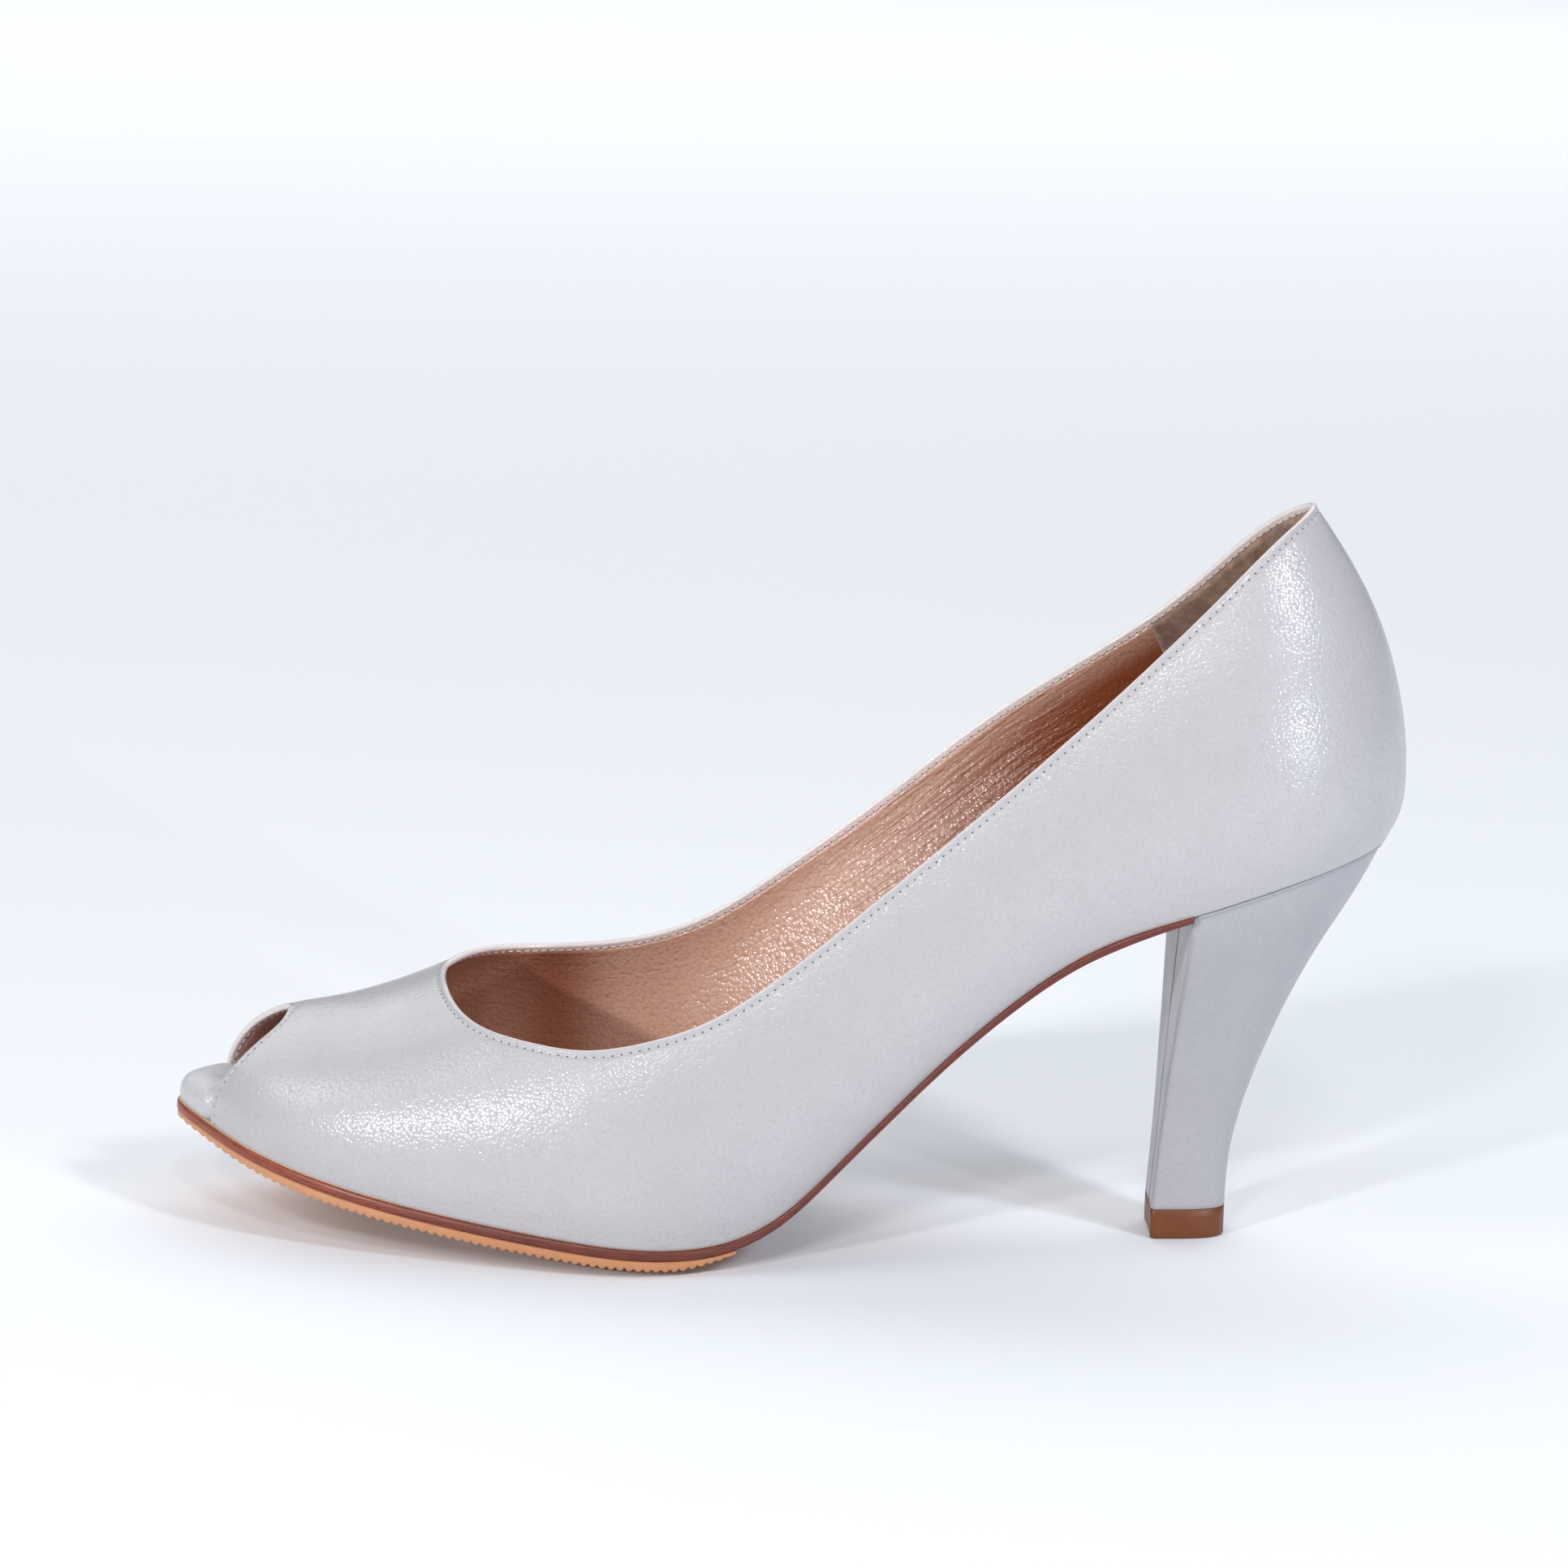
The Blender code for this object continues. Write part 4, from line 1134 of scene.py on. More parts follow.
@dataclass
class Upper:
    """The folded leather, its lining, the suede heel grip and their stitches.

    Columns are counted before and behind the throat, and rows below and in the fine band at an edge.
    """

    column_gather: float = 1.7

    # Outer leather, with its fold, its seams, and painted light that makes the rim of its cut edge and its
    # inside face paler.
    leather: float = 1.1
    leather_columns: Grid = (56, 170)
    leather_rows: EdgeRows = (44, 22, 0.09)
    fold_rise: float = 0.14
    fold: Row = (0.0, 0.4, 0.7, 1.15)
    seam_at: float = 1.45
    peep_seam_at: float = 1.25
    seam_width: float = 0.34
    seam_depth: float = 0.13
    inside_seam_at: float = 1.3
    back_seam: float = 0.10
    back_seam_width: float = 0.22
    back_seam_below: Row = (1.0, 3.0)
    foot_plain: Row = (0.0, 0.5)
    sink: float = 0.4
    sink_height: float = 1.2
    # Painted light: how strongly the rim of the cut edge is painted paler, and where that fades.
    rim_painted_light: float = 0.8
    rim_painted_light_fade: Row = (0.15, 0.5)

    # Lining, with the creases of the waist, its lean into the arch, painted shade at its front and by the
    # ball, and a darker band towards the grip that is partly painted shade.
    lining_columns: Grid = (34, 130)
    lining_rows: EdgeRows = (84, 16, 0.09)
    lining_edge: Row = (1.35, 1.75)
    lining_foot: Row = (0.0, 0.6)
    lining_out: float = 0.5
    lining_in: float = 1.35
    lining_thin: float = 0.1
    lining_thin_width: float = 0.3
    crease_count: int = 14
    crease_first: float = 5.0
    crease_step: float = 1.05
    crease_depth: float = 0.08
    crease_width: float = 0.32
    crease_x: Row = (2.0, 22.0, 48.0, 66.0)
    crease_wander: float = 0.45
    crease_length: Row = (6.0, 11.0)
    crease_shift: Row = (-6.0, 6.0)
    crease_break: float = 9.0
    crease_mean: float = 0.55
    lean: float = 5.0
    lean_below: Row = (3.0, 24.0)
    lean_foot: Row = (0.0, 20.0)
    lean_x: Row = (-25.0, 0.0, 40.0, 66.0)
    worn_least: float = 0.22
    # Painted shade: where the lining is darkened towards the grip, at its front and by the ball.
    stain_and_shade_x: Row = (8.0, 52.0)
    stain_and_shade_below: Row = (1.5, 8.0)
    stain_and_shade_least: float = 0.3
    painted_shade_front: float = 0.5
    painted_shade_front_x: Row = (-46.0, -26.0)
    painted_ball_shadow: float = 0.35
    painted_ball_shadow_x: float = -42.0
    painted_ball_shadow_width: float = 8.0

    # Heel grip: the search for its slanting front edge, and its section.
    grip_x: float = 68.0
    grip_lean: float = 0.5
    grip_proud: float = 0.5
    grip_columns: int = 70
    grip_rows: EdgeRows = (44, 12, 0.12)
    grip_gather: float = 1.3
    grip_guess: float = 0.8
    grip_rounds: int = 12
    grip_reach: float = 215.0
    grip_limits: Row = (0.3, 0.98)
    grip_collar: Row = (1.45, 1.9)
    grip_front: Row = (0.0, 0.45)
    grip_foot: Row = (0.0, 0.6)
    grip_sunk: float = 0.15
    grip_thin: float = 0.05
    grip_thin_width: Row = (0.0, 0.2)
    grip_tuck: Row = (1.2, 1.7)
    grip_tuck_depth: float = 0.8

    skin: Skin | None = None
    outer: np.ndarray | None = None
    inner: np.ndarray | None = None

    def columns(self, toe: int, sides: int) -> tuple[np.ndarray, int]:
        """Give the columns from the toe opening to the back.

        Args:
            toe: Number of steps before the throat.
            sides: Number of steps behind it.

        Returns:
            The columns, and the number of the one at the throat.
        """
        throat = LAST.throat_column()
        front = throat * graded(toe, self.column_gather, self.column_gather)
        even = np.linspace(0.0, 1.0, sides + 1)
        rear = throat + (1.0 - throat) * (0.5 - 0.5 * np.cos(math.pi * even))
        return np.concatenate([front, rear[1:]]), toe

    def edge_frame(self, chain: np.ndarray, closed: bool) -> tuple[np.ndarray, np.ndarray]:
        """Give the points along an edge and the way on past the leather there.

        Args:
            chain: Numbers of the edge's points.
            closed: Whether the edge closes on itself.

        Returns:
            The points, and the direction from each that runs on past the leather.
        """
        line, normal = self.skin.points[chain], self.skin.normals()[chain]
        run = np.roll(line, -1, 0) - np.roll(line, 1, 0)
        if not closed:
            run[0], run[-1] = line[1] - line[0], line[-1] - line[-2]
        past = np.cross(normal, run)
        return line, past / np.linalg.norm(past, axis=1)[:, None]

    def seam_path(self, offset: np.ndarray, chain: np.ndarray, closed: bool,
                  distance: float) -> tuple[np.ndarray, np.ndarray]:
        """Give a path on a face of the leather at a distance from one of its edges.

        Args:
            offset: How far each point of the face stands out from the skin.
            chain: Numbers of the edge's points.
            closed: Whether the edge closes on itself.
            distance: How far the path keeps from the edge.

        Returns:
            The path's points and the skin's outward direction there.
        """
        line, past = self.edge_frame(chain, closed)
        face = self.skin.points + self.skin.normals() * offset[:, None]
        tree = BVHTree.FromPolygons(face.tolist(), self.skin.faces.tolist())
        spots, outs = [], []
        for spot in line - past * distance:
            place, out, _, _ = tree.find_nearest(spot)
            spots.append(np.array(place))
            outs.append(np.array(out))
        return np.array(spots), np.array(outs)

    def make_leather(self, material: bpy.types.Material) -> bpy.types.Object:
        """Make the outer leather: rolled edges, a fold along them, a stitched dip and the back seam.

        Args:
            material: Its finish.

        Returns:
            The piece.
        """
        along, throat = self.columns(*self.leather_columns)
        skin = Skin.over(along, rows_to_edge(*self.leather_rows), throat)
        collar = skin.distance(skin.collar(), True)
        peep = skin.distance(skin.peep(), False)
        bottom = skin.distance(skin.bottom(), False)
        back = skin.distance(skin.back(), False)
        radius = 0.5 * self.leather
        near = np.minimum(collar, peep)
        edge = np.minimum(near, bottom)
        inward = radius - np.minimum(edge, radius)
        roll = radius - np.sqrt(np.maximum(0.0, radius ** 2 - inward ** 2))
        dips = sum(np.exp(-((far - at) / self.seam_width) ** 2)
                   for far, at in ((collar, self.seam_at), (peep, self.peep_seam_at)))
        fold = self.fold_rise * rise_and_fall(near, self.fold)
        seam = self.back_seam * np.exp(-(back / self.back_seam_width) ** 2)
        seam = seam * smooth_step(collar, *self.back_seam_below)
        outer = (fold - self.seam_depth * dips - seam) * smooth_step(bottom, *self.foot_plain) - roll
        inner = roll - self.leather
        points, faces = skin.wall(outer, inner)
        low = 1.0 - smooth_step(bottom, 0.0, self.sink_height)
        points[:, 2] -= self.sink * np.concatenate([low, low])
        self.skin, self.outer, self.inner = skin, outer, inner
        # Painted light: the rim of the cut edge and the whole inside face are painted paler and pinker, for
        # the light and the lining's reflection that they catch.
        painted_rim_light = self.rim_painted_light - self.rim_painted_light * smooth_step(near, *self.rim_painted_light_fade)
        painted_light_shade = np.concatenate([painted_rim_light, np.ones(len(edge))])
        return make_piece("upper_leather", points, faces, material, None, {"painted_light_shade": painted_light_shade})

    def wrinkles(self, x: np.ndarray, collar: np.ndarray, reach: np.ndarray) -> np.ndarray:
        """Draw wandering creases that run along the collar and come and go.

        Args:
            x: Places along the shoe.
            collar: Distances from the collar.
            reach: How strong the creases are at each place.

        Returns:
            The height of the creases, 1 being full.
        """
        total = np.zeros(len(x))
        chance = np.random.default_rng(SEED)
        for i in range(self.crease_count):
            phase = chance.uniform(0.0, 2.0 * math.pi)
            length = chance.uniform(*self.crease_length)
            shift = chance.uniform(*self.crease_shift)
            at = self.crease_first + self.crease_step * i + self.crease_wander * np.sin(x / length + phase)
            come = (1.0 - self.crease_mean) * np.sin((x + shift) / self.crease_break + phase)
            total += reach * (self.crease_mean + come) * np.exp(-((collar - at) / self.crease_width) ** 2)
        return total

    def make_lining(self, material: bpy.types.Material) -> bpy.types.Object:
        """Make the lining: it comes out from under the fold, and wrinkles along the waist.

        Args:
            material: Its finish.

        Returns:
            The piece.
        """
        along, throat = self.columns(*self.lining_columns)
        skin = Skin.over(along, rows_to_edge(*self.lining_rows), throat)
        collar = skin.distance(skin.collar(), True)
        edge = np.minimum(collar, skin.distance(skin.peep(), False))
        bottom = skin.distance(skin.bottom(), False)
        cover = smooth_step(edge, *self.lining_edge) * smooth_step(bottom, *self.lining_foot)
        x = skin.points[:, 0]
        reach = rise_and_fall(x, self.crease_x)
        thin = self.lining_thin * np.clip(np.minimum(edge, bottom) / self.lining_thin_width, 0.0, 1.0)
        outer = np.full(len(x), -self.lining_out)
        thick = (self.lining_in - self.lining_out - self.lining_thin) * cover
        inner = outer - thin - thick + self.crease_depth * self.wrinkles(x, collar, reach) * cover
        arch = rise_and_fall(x, self.lean_x) * (skin.points[:, 1] > 0.0)
        arch = arch * smooth_step(collar, *self.lean_below) * smooth_step(bottom, *self.lean_foot)
        inner -= self.lean * arch
        points, faces = skin.wall(outer, inner)
        uv = np.tile(np.stack([x, collar], -1), (2, 1))
        worn = np.tile(self.worn_least + (1.0 - self.worn_least) * reach, 2)
        # Painted shade: the lining is darkened at the front and by the ball, where the vamp's shadow falls,
        # and towards the grip, where a darker piece lies in the shade of the near wall.
        below = self.stain_and_shade_least + (1.0 - self.stain_and_shade_least) * smooth_step(collar, *self.stain_and_shade_below)
        rear = smooth_step(x, *self.stain_and_shade_x) * below
        ball = self.painted_ball_shadow * np.exp(-((x - self.painted_ball_shadow_x) / self.painted_ball_shadow_width) ** 2)
        front = self.painted_shade_front * (1.0 - smooth_step(x, *self.painted_shade_front_x)) + ball
        stain_and_painted_shade = np.tile(np.maximum(rear, front), 2)
        return make_piece("lining", points, faces, material, uv, {"worn": worn, "painted_light_shade": stain_and_painted_shade})

    def grip_grid(self, side: Side, rows: np.ndarray) -> np.ndarray:
        """Lay one side of the grip over the last, from its slanting front edge to the back.

        Args:
            side: The side of the foot.
            rows: Shares of each column, from the featherline to the collar.

        Returns:
            Points by column and row.
        """
        along = np.full(len(rows), self.grip_guess)
        for _ in range(self.grip_rounds):
            top = np.arcsin(LAST.collar_height(side, along)) / (0.5 * math.pi)
            spot = LAST.at_column(side, along, np.sin(0.5 * math.pi * top * rows))
            edge = LAST.at_column(side, along, np.sin(0.5 * math.pi * top))
            wanted = self.grip_x + self.grip_lean * (edge[:, 2] - spot[:, 2])
            along = np.clip(along + (wanted - spot[:, 0]) / self.grip_reach, *self.grip_limits)
        steps = 1.0 - (1.0 - np.linspace(0.0, 1.0, self.grip_columns + 1)) ** self.grip_gather
        places = along[None, :] + (1.0 - along[None, :]) * steps[:, None]
        top = np.arcsin(LAST.collar_height(side, places)) / (0.5 * math.pi)
        return LAST.at_column(side, places, np.sin(0.5 * math.pi * top * rows[None, :]))

    def make_grip(self, material: bpy.types.Material) -> bpy.types.Object:
        """Make the suede grip that covers the lining round the heel.

        Args:
            material: Its finish.

        Returns:
            The piece.
        """
        rows = rows_to_edge(*self.grip_rows)
        skin = Skin.joined([self.grip_grid(side, rows) for side in Side], -1)
        lateral, medial = (skin.numbers[side] for side in Side)
        collar = skin.distance(np.concatenate([lateral[:, -1], medial[:-1, -1][::-1]]), False)
        front = np.minimum(*(skin.distance(numbers[0, :], False) for numbers in (lateral, medial)))
        bottom = skin.distance(np.concatenate([lateral[:, 0], medial[:-1, 0][::-1]]), False)
        cover = smooth_step(collar, *self.grip_collar) * smooth_step(front, *self.grip_front)
        cover = cover * smooth_step(bottom, *self.grip_foot)
        edge = np.minimum(np.minimum(collar, front), bottom)
        thin = self.grip_thin * smooth_step(edge, *self.grip_thin_width)
        tuck = 1.0 - smooth_step(collar, *self.grip_tuck)
        outer = tuck * (self.lining_in - self.grip_tuck_depth) - (self.lining_in - self.grip_sunk)
        inner = outer - thin - (self.grip_proud + self.grip_sunk) * cover
        points, faces = skin.wall(outer, inner)
        return make_piece("heel_grip", points, faces, material)

    def make_stitches(self, thread: bpy.types.Material, hole: bpy.types.Material,
                      inner_thread: bpy.types.Material) -> list[bpy.types.Object]:
        """Sew the rows round the collar and the toe opening, outside and in.

        Args:
            thread: Finish of the thread outside.
            hole: Finish of the needle holes.
            inner_thread: Finish of the thread inside.

        Returns:
            The rows.
        """
        made = []
        for name, chain, closed, at, row in (
                ("collar", self.skin.collar(), True, self.seam_at, StitchRow()),
                ("toe", self.skin.peep(), False, self.peep_seam_at, StitchRow(hole_mm=0.15))):
            path, out = self.seam_path(self.outer, chain, closed, at)
            made.append(row.sew(name + "_stitches", path, out, closed, thread, hole))
            path, out = self.seam_path(self.inner, chain, closed, self.inside_seam_at)
            row = StitchRow(thread_mm=0.2, hole_mm=0.17)
            made.append(row.sew(name + "_inside_stitches", path, -out, closed, inner_thread, hole))
        return made


@dataclass
class Plate:
    """A plate under the foot, stacked from outlines.

    It runs from start_x, or the tip of the toe, to end_x, or the back of the heel, in even steps of the
    angle, unless its shares of the length are given.
    """

    name: str
    levels: list[tuple[Callable, Callable]]
    start_x: float | None = None
    end_x: float | None = None
    steps: int = 0
    shares: np.ndarray | None = None
    across: int = 12
    tip: float = 0.00002

    def stations(self, side: Side, inset: float) -> np.ndarray:
        """Give shares of the length, close together at the two ends of the shoe.

        Args:
            side: The side of the foot.
            inset: The inset at which the ends are found.

        Returns:
            The shares.
        """
        if self.shares is not None:
            return self.shares
        start = self.tip if self.start_x is None else LAST.share_where(side, inset, self.start_x)
        end = 1.0 - self.tip if self.end_x is None else LAST.share_where(side, inset, self.end_x)
        turns = np.linspace(math.acos(1.0 - 2.0 * start), math.acos(1.0 - 2.0 * end), self.steps + 1)
        return 0.5 - 0.5 * np.cos(turns)

    def rings(self) -> tuple[np.ndarray, np.ndarray]:
        """Give the plate's rings.

        Returns:
            Points by station and place round the ring, and for each place its level from 0 to 1.
        """
        edges = {}
        for side in Side:
            for i, (inset, height) in enumerate(self.levels):
                share = self.stations(side, float(np.mean(inset(np.array(0.5)))))
                flat = LAST.outline(side, share, inset(share))
                edges[side, i] = np.concatenate([flat, height(flat[:, 0], flat[:, 1])[:, None]], -1)
        top = len(self.levels) - 1
        ring = [edges[Side.LATERAL, i] for i in range(top + 1)]
        ring += self.between(edges[Side.LATERAL, top], edges[Side.MEDIAL, top], self.levels[top][1])
        ring += [edges[Side.MEDIAL, i] for i in range(top, -1, -1)]
        ring += self.between(edges[Side.MEDIAL, 0], edges[Side.LATERAL, 0], self.levels[0][1])
        rise = [i / top for i in range(top + 1)]
        level = rise + [1.0] * self.across + rise[::-1] + [0.0] * self.across
        return np.stack(ring, 1), np.array(level)

    def between(self, first: np.ndarray, last: np.ndarray, height: Callable) -> list[np.ndarray]:
        """Give points across the plate between its two edges.

        Args:
            first: Points of the edge that the lines start from.
            last: Points of the other edge.
            height: The height at x and y.

        Returns:
            The points of each line along the plate.
        """
        lines = []
        for i in range(1, self.across + 1):
            flat = first[:, :2] + (last[:, :2] - first[:, :2]) * i / (self.across + 1)
            lines.append(np.concatenate([flat, height(flat[:, 0], flat[:, 1])[:, None]], -1))
        return lines

    def faces(self, count: int) -> list:
        """Give the plate's faces: its skin, and strips across each end.

        Args:
            count: Number of rings.

        Returns:
            Point numbers of each face.
        """
        top = len(self.levels) - 1
        size = 2 * (top + 1 + self.across)
        medial = 2 * top + 1 + self.across
        over, under = list(range(top + 1, top + 1 + self.across)), list(range(size - self.across, size))
        faces = ring_faces(count, size)[:-2]
        for start in (0, (count - 1) * size):
            for i in range(top):
                strip = [i, i + 1, *(over if i == top - 1 else []), medial - i - 1, medial - i]
                strip += under if i == 0 else []
                faces.append([start + number for number in strip])
        return faces

    def build(self, material: bpy.types.Material, values: Callable | None = None) -> bpy.types.Object:
        """Make the plate.

        Args:
            material: Its finish.
            values: A function of points and levels that gives named numbers for a node tree.

        Returns:
            The piece.
        """
        rings, level = self.rings()
        faces = self.faces(len(rings))
        points = rings.reshape(-1, 3)
        levels = np.tile(level, len(rings))
        run = np.linalg.norm(np.diff(rings[:, 0], axis=0), axis=1)
        run = np.repeat(np.concatenate([[0.0], np.cumsum(run)]), rings.shape[1])
        extra = values(points, levels) if values else None
        return make_piece(self.name, points, faces, material, np.stack([run, levels], -1), extra)


def ring_faces(count: int, size: int) -> list:
    """Give the faces of a closed stack of rings, with both ends filled.

    Args:
        count: Number of rings.
        size: Points in each ring.

    Returns:
        Point numbers of each face.
    """
    start = np.arange(count - 1)[:, None] * size
    here = np.arange(size)[None, :]
    after = (here + 1) % size
    quads = np.stack([start + here, start + after, start + size + after, start + size + here], -1)
    caps = [list(range(size)), list(range((count - 1) * size, count * size))]
    return quads.reshape(-1, 4).tolist() + caps


def edge_levels(edge: Table, inset: float, height: Callable) -> list[tuple[Callable, Callable]]:
    """Turn an edge table into the levels of a plate.

    Args:
        edge: For each level, how far it is set in and its share of the thickness.
        inset: What is added to every inset.
        height: The height at x and y for a share of the thickness.

    Returns:
        The inset and the height of each level, as functions.
    """
    return [(lambda share, extra=extra: np.full_like(share, extra + inset),
             lambda x, y, part=part: height(x, y, part)) for extra, part in edge]


@dataclass
class Sole:
    """The leather sole, the toothed rubber under the ball, the sock and the wrapped toe pad."""

    # Leather sole.
    proud: float = 0.8
    sole_drop: float = 0.3
    sole_drop_rate: float = 4.0
    sole_stations: int = 260
    sole_edge: Table = ((0.55, 1.0), (0.2, 0.93), (0.0, 0.78), (0.0, 0.5), (0.02, 0.25), (0.14, 0.08),
                        (0.4, -0.02), (0.9, -0.05))

    # Rubber forepart and its teeth.
    tread_thick: float = 1.6
    tread_extra: float = 0.3
    tread_inset: float = 0.1
    tread_end_x: float = -8.0
    tread_full_x: float = -88.0
    tread_skive: float = 12.0
    tread_toe_thin: float = 0.45
    tread_end_thin: float = 0.7
    tread_across: int = 14
    tread_tip_rings: int = 6
    tread_edge: Table = ((0.12, 1.0), (0.0, 0.9), (0.0, 0.6), (0.0, 0.3), (0.1, 0.0))
    first_rib_x: float = -111.8
    rib_pitch: float = 1.65
    rib_depth: float = 0.75
    rib_crest: float = 0.55
    rib_samples: int = 9
    rib_round: float = 0.6
    rib_fade: float = 1.6

    # Sock.
    sock_thick: float = 3.2
    sock_front_thick: float = 7.0
    sock_thin_x: float = -40.0
    sock_inset: float = 1.3
    sock_stations: int = 200
    sock_edge: Table = ((0.0, 0.0), (0.0, 0.6), (0.25, 0.85), (0.7, 0.97), (1.4, 1.0))

    # Toe pad.
    pad_end_x: float = -93.0
    pad_thick: float = 7.6
    pad_tip_thick: float = 5.9
    pad_full_x: float = -102.0
    pad_inset: float = -0.2
    pad_tuck: Row = (0.0215, 0.0285)
    pad_tuck_inset: float = 1.2
    pad_stations: int = 90
    pad_levels: int = 15
    pad_edge: Table = ((0.2, 0.0), (0.0, 0.2), (0.25, 0.48), (1.2, 0.76), (2.8, 0.93), (5.0, 1.0))

    def make_outsole(self, material: bpy.types.Material) -> bpy.types.Object:
        """Make the leather sole with its rounded edge.

        Args:
            material: Its finish.

        Returns:
            The piece.
        """
        def height(x: np.ndarray, y: np.ndarray, part: float) -> np.ndarray:
            """Give the height at a share of the thickness, let down a little below the upper."""
            drop = self.sole_drop * np.clip(part * self.sole_drop_rate, 0.0, 1.0)
            return LAST.bed(x, y) - LAST.sole(x) * part - drop

        levels = edge_levels(self.sole_edge, -self.proud, height)
        plate = Plate("sole_leather_piece", levels, None, LAST.breast_x, self.sole_stations)
        return plate.build(material)

    def tread(self, x: np.ndarray) -> np.ndarray:
        """Give the thickness of the rubber, thinner at the toe and skived at its end.

        Args:
            x: Places along the shoe.

        Returns:
            Thicknesses in millimetres.
        """
        toe = 1.0 - smooth_step(x, LAST.toe_x, self.tread_full_x)
        end = smooth_step(x, self.tread_end_x - self.tread_skive, self.tread_end_x)
        return self.tread_thick * (1.0 - self.tread_toe_thin * toe) * (1.0 - self.tread_end_thin * end)

    def make_tread(self, material: bpy.types.Material) -> bpy.types.Object:
        """Make the rubber forepart and press its teeth with a node tree.

        Args:
            material: Its finish.

        Returns:
            The piece.
        """
        def height(x: np.ndarray, y: np.ndarray, part: float) -> np.ndarray:
            """Give the height at a share of the rubber's thickness, never under the floor."""
            top = LAST.bed(x, y) - self.sole_drop - LAST.sole(x)
            return top + (np.maximum(0.0, top - self.tread_extra - self.tread(x)) - top) * part

        def values(points: np.ndarray, level: np.ndarray) -> dict[str, np.ndarray]:
            """Give each point's place along the shoe and how far the teeth are pressed in there."""
            return {"run": points[:, 0], "pressed": np.clip(1.0 - level * self.rib_fade, 0.0, 1.0)}

        steps = int((self.tread_end_x - self.first_rib_x) / self.rib_pitch) * self.rib_samples
        ribs = self.first_rib_x + self.rib_pitch * np.arange(steps + 1) / self.rib_samples
        shares = (np.append(ribs, self.tread_end_x) - LAST.toe_x) / (LAST.heel_x - LAST.toe_x)
        tip = np.linspace(0.0, 1.0, self.tread_tip_rings + 1)[:-1] ** 2
        shares = np.concatenate([Plate.tip + (shares[0] - Plate.tip) * tip, shares])
        levels = edge_levels(self.tread_edge, self.tread_inset - self.proud, height)
        plate = Plate("tread_rubber_piece", levels, shares=shares, across=self.tread_across)
        tree, named = self.rib_tree()
        sizes = {"First": self.first_rib_x, "Pitch": self.rib_pitch, "Depth": self.rib_depth * MM,
                 "Crest": self.rib_crest, "Rubber": material}
        piece = plate.build(material, values)
        return run_tree(piece, tree, {named[key]: value for key, value in sizes.items()})

    def rib_tree(self) -> tuple[bpy.types.NodeTree, dict[str, str]]:
        """Build the node tree that presses rounded teeth into the underside.

        Returns:
            The tree and the identifier of each of its inputs by name.
        """
        tree, given, named = start_group("tread_ribs", ("First", "Pitch", "Depth", "Crest"), ("Rubber",))
        run, pressed = (add_node(tree, "GeometryNodeInputNamedAttribute", {"Name": name},
                                 data_type="FLOAT").outputs[0] for name in ("run", "pressed"))
        middle = add_node(tree, "ShaderNodeMath", {0: given["Crest"], 1: 0.5}, operation="MULTIPLY")
        crest = run
        for operation, other in (("SUBTRACT", given["First"]), ("DIVIDE", given["Pitch"]),
                                 ("SUBTRACT", middle.outputs[0]), ("MULTIPLY", math.pi),
                                 ("COSINE", 0.0), ("ABSOLUTE", 0.0), ("POWER", self.rib_round)):
            crest = add_node(tree, "ShaderNodeMath", {0: crest, 1: other}, operation=operation).outputs[0]
        lift = add_node(tree, "ShaderNodeMath", {0: 1.0, 1: crest}, operation="SUBTRACT").outputs[0]
        for other in (given["Depth"], pressed):
            lift = add_node(tree, "ShaderNodeMath", {0: lift, 1: other}, operation="MULTIPLY").outputs[0]
        up = add_node(tree, "ShaderNodeCombineXYZ", {2: lift})
        moved = add_node(tree, "GeometryNodeSetPosition",
                         {"Geometry": given["Geometry"], "Offset": up.outputs[0]})
        real = add_node(tree, "GeometryNodeRealizeInstances", {0: moved.outputs[0]})
        dressed = add_node(tree, "GeometryNodeSetMaterial",
                           {"Geometry": real.outputs[0], "Material": given["Rubber"]})
        add_node(tree, "NodeGroupOutput", {0: dressed.outputs[0]})
        return tree, named

    def make_sock(self, material: bpy.types.Material) -> bpy.types.Object:
        """Make the sock over the insole, soft at its edges and thicker towards the toe pad.

        Args:
            material: Its finish.

        Returns:
            The piece.
        """
        def height(x: np.ndarray, y: np.ndarray, part: float) -> np.ndarray:
            """Give the height at a share of the thickness.

            Args:
                x: Places along the shoe.
                y: Places across it.
                part: The share.

            Returns:
                Heights in millimetres.
            """
            front = 1.0 - smooth_step(x, self.pad_end_x, self.sock_thin_x)
            thick = self.sock_thick + (self.sock_front_thick - self.sock_thick) * front
            return LAST.bed(x, y) + thick * part

        levels = edge_levels(self.sock_edge, self.sock_inset, height)
        plate = Plate("sock_leather_piece", levels, self.pad_end_x, None, self.sock_stations)
        return plate.build(material)

    def make_toe_pad(self, material: bpy.types.Material) -> bpy.types.Object:
        """Make the padded, leather-wrapped front that shows in the open toe.

        Args:
            material: Its finish.

        Returns:
            The piece.
        """
        places = np.linspace(0.0, 1.0, len(self.pad_edge))
        extra, part = (Curve(places, [row[i] for row in self.pad_edge]) for i in (0, 1))

        def inset(share: np.ndarray, at: float) -> np.ndarray:
            """Give the inset at a level, tucked in behind the edge of the toe opening."""
            tucked = smooth_step(share, *self.pad_tuck)
            return self.pad_inset + (self.pad_tuck_inset - self.pad_inset) * tucked + extra(at)

        def height(x: np.ndarray, y: np.ndarray, at: float) -> np.ndarray:
            """Give the height at a level, lower at the tip.

            Args:
                x: Places along the shoe.
                y: Places across it.
                at: The level, from 0 to 1.

            Returns:
                Heights in millimetres.
            """
            back = smooth_step(x, LAST.toe_x, self.pad_full_x)
            thick = self.pad_tip_thick + (self.pad_thick - self.pad_tip_thick) * back
            return LAST.bed(x, y) + thick * np.clip(part(at), 0.0, 1.0)

